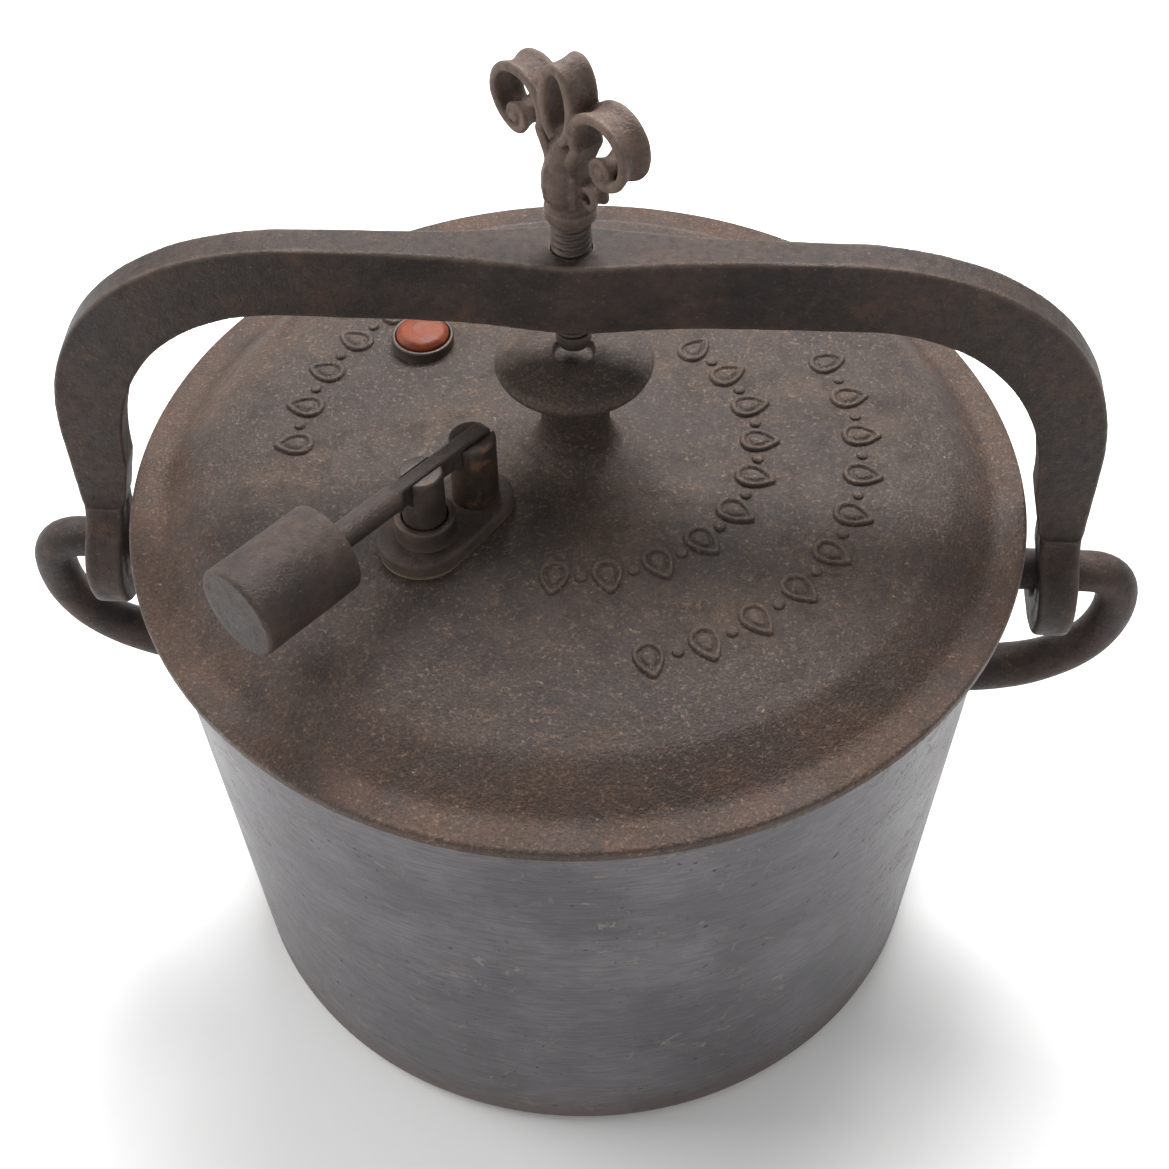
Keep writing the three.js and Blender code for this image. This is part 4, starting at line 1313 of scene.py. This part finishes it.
def thread_tree(material):
    tree, given = geometry_tree("cut_thread", [
        ("Radius", "NodeSocketFloat"), ("Depth", "NodeSocketFloat"), ("Pitch", "NodeSocketFloat"),
        ("Low", "NodeSocketFloat"), ("High", "NodeSocketFloat"),
    ])
    radius, low, high = given["Radius"], given["Low"], given["High"]
    blank = radius.node("GeometryNodeMeshCylinder", None, {
        "Vertices": 48, "Side Segments": 200, "Fill Segments": 1, "Radius": radius, "Depth": high - low,
    })
    at = radius.node("GeometryNodeInputPosition")
    angle = at.maths("ARCTAN2", at.part(1), at.part(0)) / (2 * math.pi)
    turn = at.part(2) / given["Pitch"] - angle
    phase = turn - turn.maths("FLOOR", turn)
    ridge = (phase.maths("ABSOLUTE", phase - 0.5) * 2.0).ramp(0.12, 0.78)
    half = (high - low) / 2
    from_end = half - at.maths("ABSOLUTE", at.part(2))
    ease = from_end.ramp(0.0002, 0.002)
    share = 1.0 - ridge * given["Depth"] / radius - (1.0 - ease) * given["Depth"] / radius
    flat = at.node("ShaderNodeCombineXYZ", None, {
        0: at.part(0) * share, 1: at.part(1) * share, 2: at.part(2) + (high + low) / 2,
    })
    cut = at.node("GeometryNodeSetPosition", None, {"Geometry": blank, "Position": flat})
    ends_in(tree, cut, material)
    return tree


def screw():
    low = box_mm("screw_nose")[1].z + GAP
    high = box_mm("scroll_handle")[0].z + 1.0
    piece = grown("cut_screw", thread_tree(finishes["steel"]), {
        "Radius": 6.25 * MM, "Depth": 0.9 * MM, "Pitch": 2.5 * MM, "Low": low * MM, "High": high * MM,
    })
    mark_wear_and_highlight(piece, 0.9, passes=1)
    finished(facing_out(piece), finishes["steel"], "screw", "steel", "clamp_screw", crisp=70)


def nose():
    low, high = box_mm("screw_nose")
    corners = [
        (0, low.z, 0), (3.4, low.z, 1.2), (5.2, low.z + 1.6, 1.4), (5.6, low.z + 3.6, 1), (5.6, high.z, 0.6),
        (3.4, high.z, 0.3), (3.4, low.z + 2.1, 0), (0, low.z + 2.1, 0),
    ]
    piece = turned("thrust_nose", corners, 56, longest=1.5)
    mark_wear_and_highlight(piece, 1.0)
    finished(piece, finishes["steel"], "nose", "steel", "screw_nose")


screw()
nose()

# %% [markdown]
# ## The scroll handle
# The handle is the showpiece: two straps roll outwards into volutes, a third stands between them as a
# tall loop, and all three grow from a bulb. Each strap is a loft with a hollow along its outer face, so
# that its two edges stand up as beads. A voxel remesh then melts the straps and the bulb into one
# casting, as the metal did.

# %% Straps

HANDLE_FOOT = box_mm("scroll_handle")[0].z
HANDLE_TURN = math.radians(-45)


def grooved_section(width, thickness, groove):
    """A strap's section: u is along its thickness, v across its width. The outer face is hollowed."""
    points = []
    for u, v in soft_rectangle(thickness, width, thickness * 0.36, per_side=8, per_corner=3):
        hollow = groove * max(0.0, math.cos(math.pi * v / (width * 0.72))) if abs(v) < width * 0.36 else 0.0
        points.append((u - hollow * (u > 0) + 0.4 * hollow * (u < 0), v))
    return points


def strap(name, line, thickness, width):
    """Skins a strap along a line drawn in X and Z. thickness and width take the share of the way along."""
    sections = []
    last = len(line) - 1
    for k, point in enumerate(line):
        t = k / last
        tangent = (line[min(k + 1, last)] - line[max(k - 1, 0)]).normalized()
        normal = Vector((-tangent.z, 0, tangent.x))
        sections.append([
            tuple(point + normal * u + Vector((0, v, 0)))
            for u, v in grooved_section(width(t), thickness(t), 1.3)
        ])
    return loft(name, sections)


def volute_line():
    """Over the top and down the outside in one wide arc, then in on itself in a tight roll."""
    centre = Vector((17.2, 0, HANDLE_FOOT + 33.5))
    wide, tight, turn_in = 10.4, 4.3, math.radians(-78)
    line = [Vector((3.4, 0, HANDLE_FOOT + 14)), Vector((4.4, 0, HANDLE_FOOT + 22))]
    for k in range(61):
        angle = math.radians(205) + (turn_in - math.radians(205)) * k / 60
        line.append(centre + Vector((math.cos(angle), 0, math.sin(angle))) * wide)
    roll = centre + Vector((math.cos(turn_in), 0, math.sin(turn_in))) * (wide - tight)
    for k in range(1, 49):
        angle = turn_in - math.radians(330) * k / 48
        line.append(roll + Vector((math.cos(angle), 0, math.sin(angle))) * (tight - 2.0 * k / 48))
    return evened(line, 0.8), roll


def volute(side):
    line, _ = volute_line()
    piece = strap(
        "volute", line, lambda t: 4.3 - 1.3 * t, lambda t: 10.4 + 1.2 * math.sin(math.pi * min(1, t * 1.2)),
    )
    if side < 0:
        piece.data.transform(Matrix.Rotation(math.pi, 4, "Z"))
    return piece


def middle_loop():
    """The tall loop between the volutes: up one side, over, and down the other."""
    line = []
    steps = 80
    for k in range(steps + 1):
        angle = math.radians(-75 + 330 * k / steps)
        line.append(Vector((5.8 * math.cos(angle), 0, HANDLE_FOOT + 40.4 + 11.6 * math.sin(angle))))
    return strap("loop", line, lambda t: 3.9, lambda t: 11.4)


def rolled_eye(side):
    """The solid core of a volute's tight roll."""
    _, roll = volute_line()
    eye = turned("eye", [(0, -5.6, 0), (2.0, -5.6, 0.9), (2.0, 5.6, 0.9), (0, 5.6, 0)], 24)
    place = Matrix.Translation((side * roll.x * MM, 0, roll.z * MM))
    eye.data.transform(place @ Matrix.Rotation(math.pi / 2, 4, "X"))
    return eye


def side_curl():
    """The small curl that fills the corner beside the bulb."""
    middle = Vector((10.2, 0, HANDLE_FOOT + 12.5))
    line = []
    for k in range(41):
        t = k / 40
        angle = math.radians(235 - 400 * t)
        radius = 4.3 * (1 - 0.6 * t)
        line.append(middle + Vector((math.cos(angle), 0, math.sin(angle))) * radius)
    return strap("curl", line, lambda t: 2.8, lambda t: 6.5)


# %% Handle


def handle():
    foot = HANDLE_FOOT
    neck = turned("neck", [
        (0, foot, 0), (8.2, foot, 1.4), (8.2, foot + 4.4, 1.6), (6.9, foot + 5.4, 0.8), (8.6, foot + 10.5, 4),
        (8.7, foot + 15, 4), (7.4, foot + 20, 4), (5.2, foot + 26, 4), (4.6, foot + 31, 1), (0, foot + 31, 0),
    ], 48, longest=1.5)
    ribs = []
    for k in range(5):
        angle = 2 * math.pi * (k + 0.5) / 5
        rib = turned("rib", [(0, 6.5, 0), (1.6, 8, 1.5), (2.3, 13, 3), (1.5, 19, 2), (0, 21, 0)], 16)
        lean = Matrix.Translation((7.0 * math.cos(angle) * MM, 7.0 * math.sin(angle) * MM, foot * MM))
        rib.data.transform(lean)
        ribs.append(rib)
    pieces = [neck, *ribs, volute(1), volute(-1), middle_loop(), rolled_eye(1), rolled_eye(-1), side_curl()]
    piece = remeshed(joined("scroll_grip", pieces), 0.42, smoothing=2)
    hammered(piece, 5, 0.25)
    piece.data.transform(Matrix.Rotation(HANDLE_TURN, 4, "Z"))
    # A strong setting: besides the edge wear, it paints a highlight on the handle's raised edges.
    mark_wear_and_highlight(piece, 3.4)
    # The handle takes the lighter copy of the forged iron, which paints its sheen.
    finished(piece, finishes["handled_iron"], "screw", "forged_iron", "scroll_handle", crisp=80)


handle()

# %% [markdown]
# ## What stays as it is
# The nuts, washers, pins and packing are already the right shape. They only need their materials.

# %% Materials for the carried-over pieces

for part in frame["record"]["subparts"]:
    carried = frame["nodes"][part["node"]]
    if carried.hide_render:
        continue
    carried.data.materials.clear()
    carried.data.materials.append(finishes[part["material_slot"]])
    print(f"{part['node']} keeps its shape, in {part['material_slot']}")

# %% [markdown]
# ## Floor, light and camera
# A pale floor and soft light from above and behind show the dome's shape. The camera looks down at
# nearly 49 degrees, square to the yoke's span, and leans over by about a degree.

# %% Stage


def pale_paint(name, shade):
    material, at = new_material(name)
    grain = at.noise(4, 2, 0.5)
    colour = grain.blend((shade, shade, shade), (shade * 0.985, shade * 0.985, shade * 0.98))
    return surface(material, colour, 0.85, grain.bump(0.02), specular=0.1)


def floor():
    size, level = 6000, -0.5
    corners = [(x * size, y * size, level) for x, y in ((-1, -1), (1, -1), (1, 1), (-1, 1))]
    piece = new_object("floor", corners, [(0, 1, 2, 3)])
    piece.data.materials.append(pale_paint("pale_floor", 0.93))


def softbox(name, place, target, size, power):
    light = bpy.data.lights.new(name, "AREA")
    light.shape = "RECTANGLE"
    light.size, light.size_y = size
    light.energy = power
    lamp = bpy.data.objects.new(name, light)
    lamp.location = place
    lamp.rotation_euler = (Vector(target) - Vector(place)).to_track_quat("-Z", "Y").to_euler()
    bpy.context.scene.collection.objects.link(lamp)


def sky(strength):
    world = bpy.data.worlds.new("studio")
    bpy.context.scene.world = world
    world.use_nodes = True
    back = world.node_tree.nodes["Background"]
    back.inputs["Color"].default_value = (1, 1, 1, 1)
    back.inputs["Strength"].default_value = strength


def camera():
    place, target, roll = Vector((0.0372, -0.4724, 0.6881)), Vector((-0.0003, 0.0277, 0.12)), -1.19
    lens = bpy.data.cameras.new("camera")
    lens.lens = 61.85
    lens.sensor_width = 36
    eye = bpy.data.objects.new("camera", lens)
    turn = (target - place).to_track_quat("-Z", "Y").to_matrix().to_4x4()
    eye.matrix_world = Matrix.Translation(place) @ turn @ Matrix.Rotation(math.radians(roll), 4, "Z")
    bpy.context.scene.collection.objects.link(eye)
    bpy.context.scene.camera = eye


floor()
sky(0.55)
softbox("overhead", (0.1, 0.8, 1.4), (0, 0.05, 0.2), (1.1, 0.6), 44)
softbox("left", (-1.3, 0.1, 0.9), (0, 0, 0.2), (0.8, 1.0), 12)
softbox("front", (-0.5, -1.6, 0.35), (0, 0, 0.05), (1.4, 0.5), 4)
camera()
bpy.context.scene.view_settings.view_transform = "Standard"
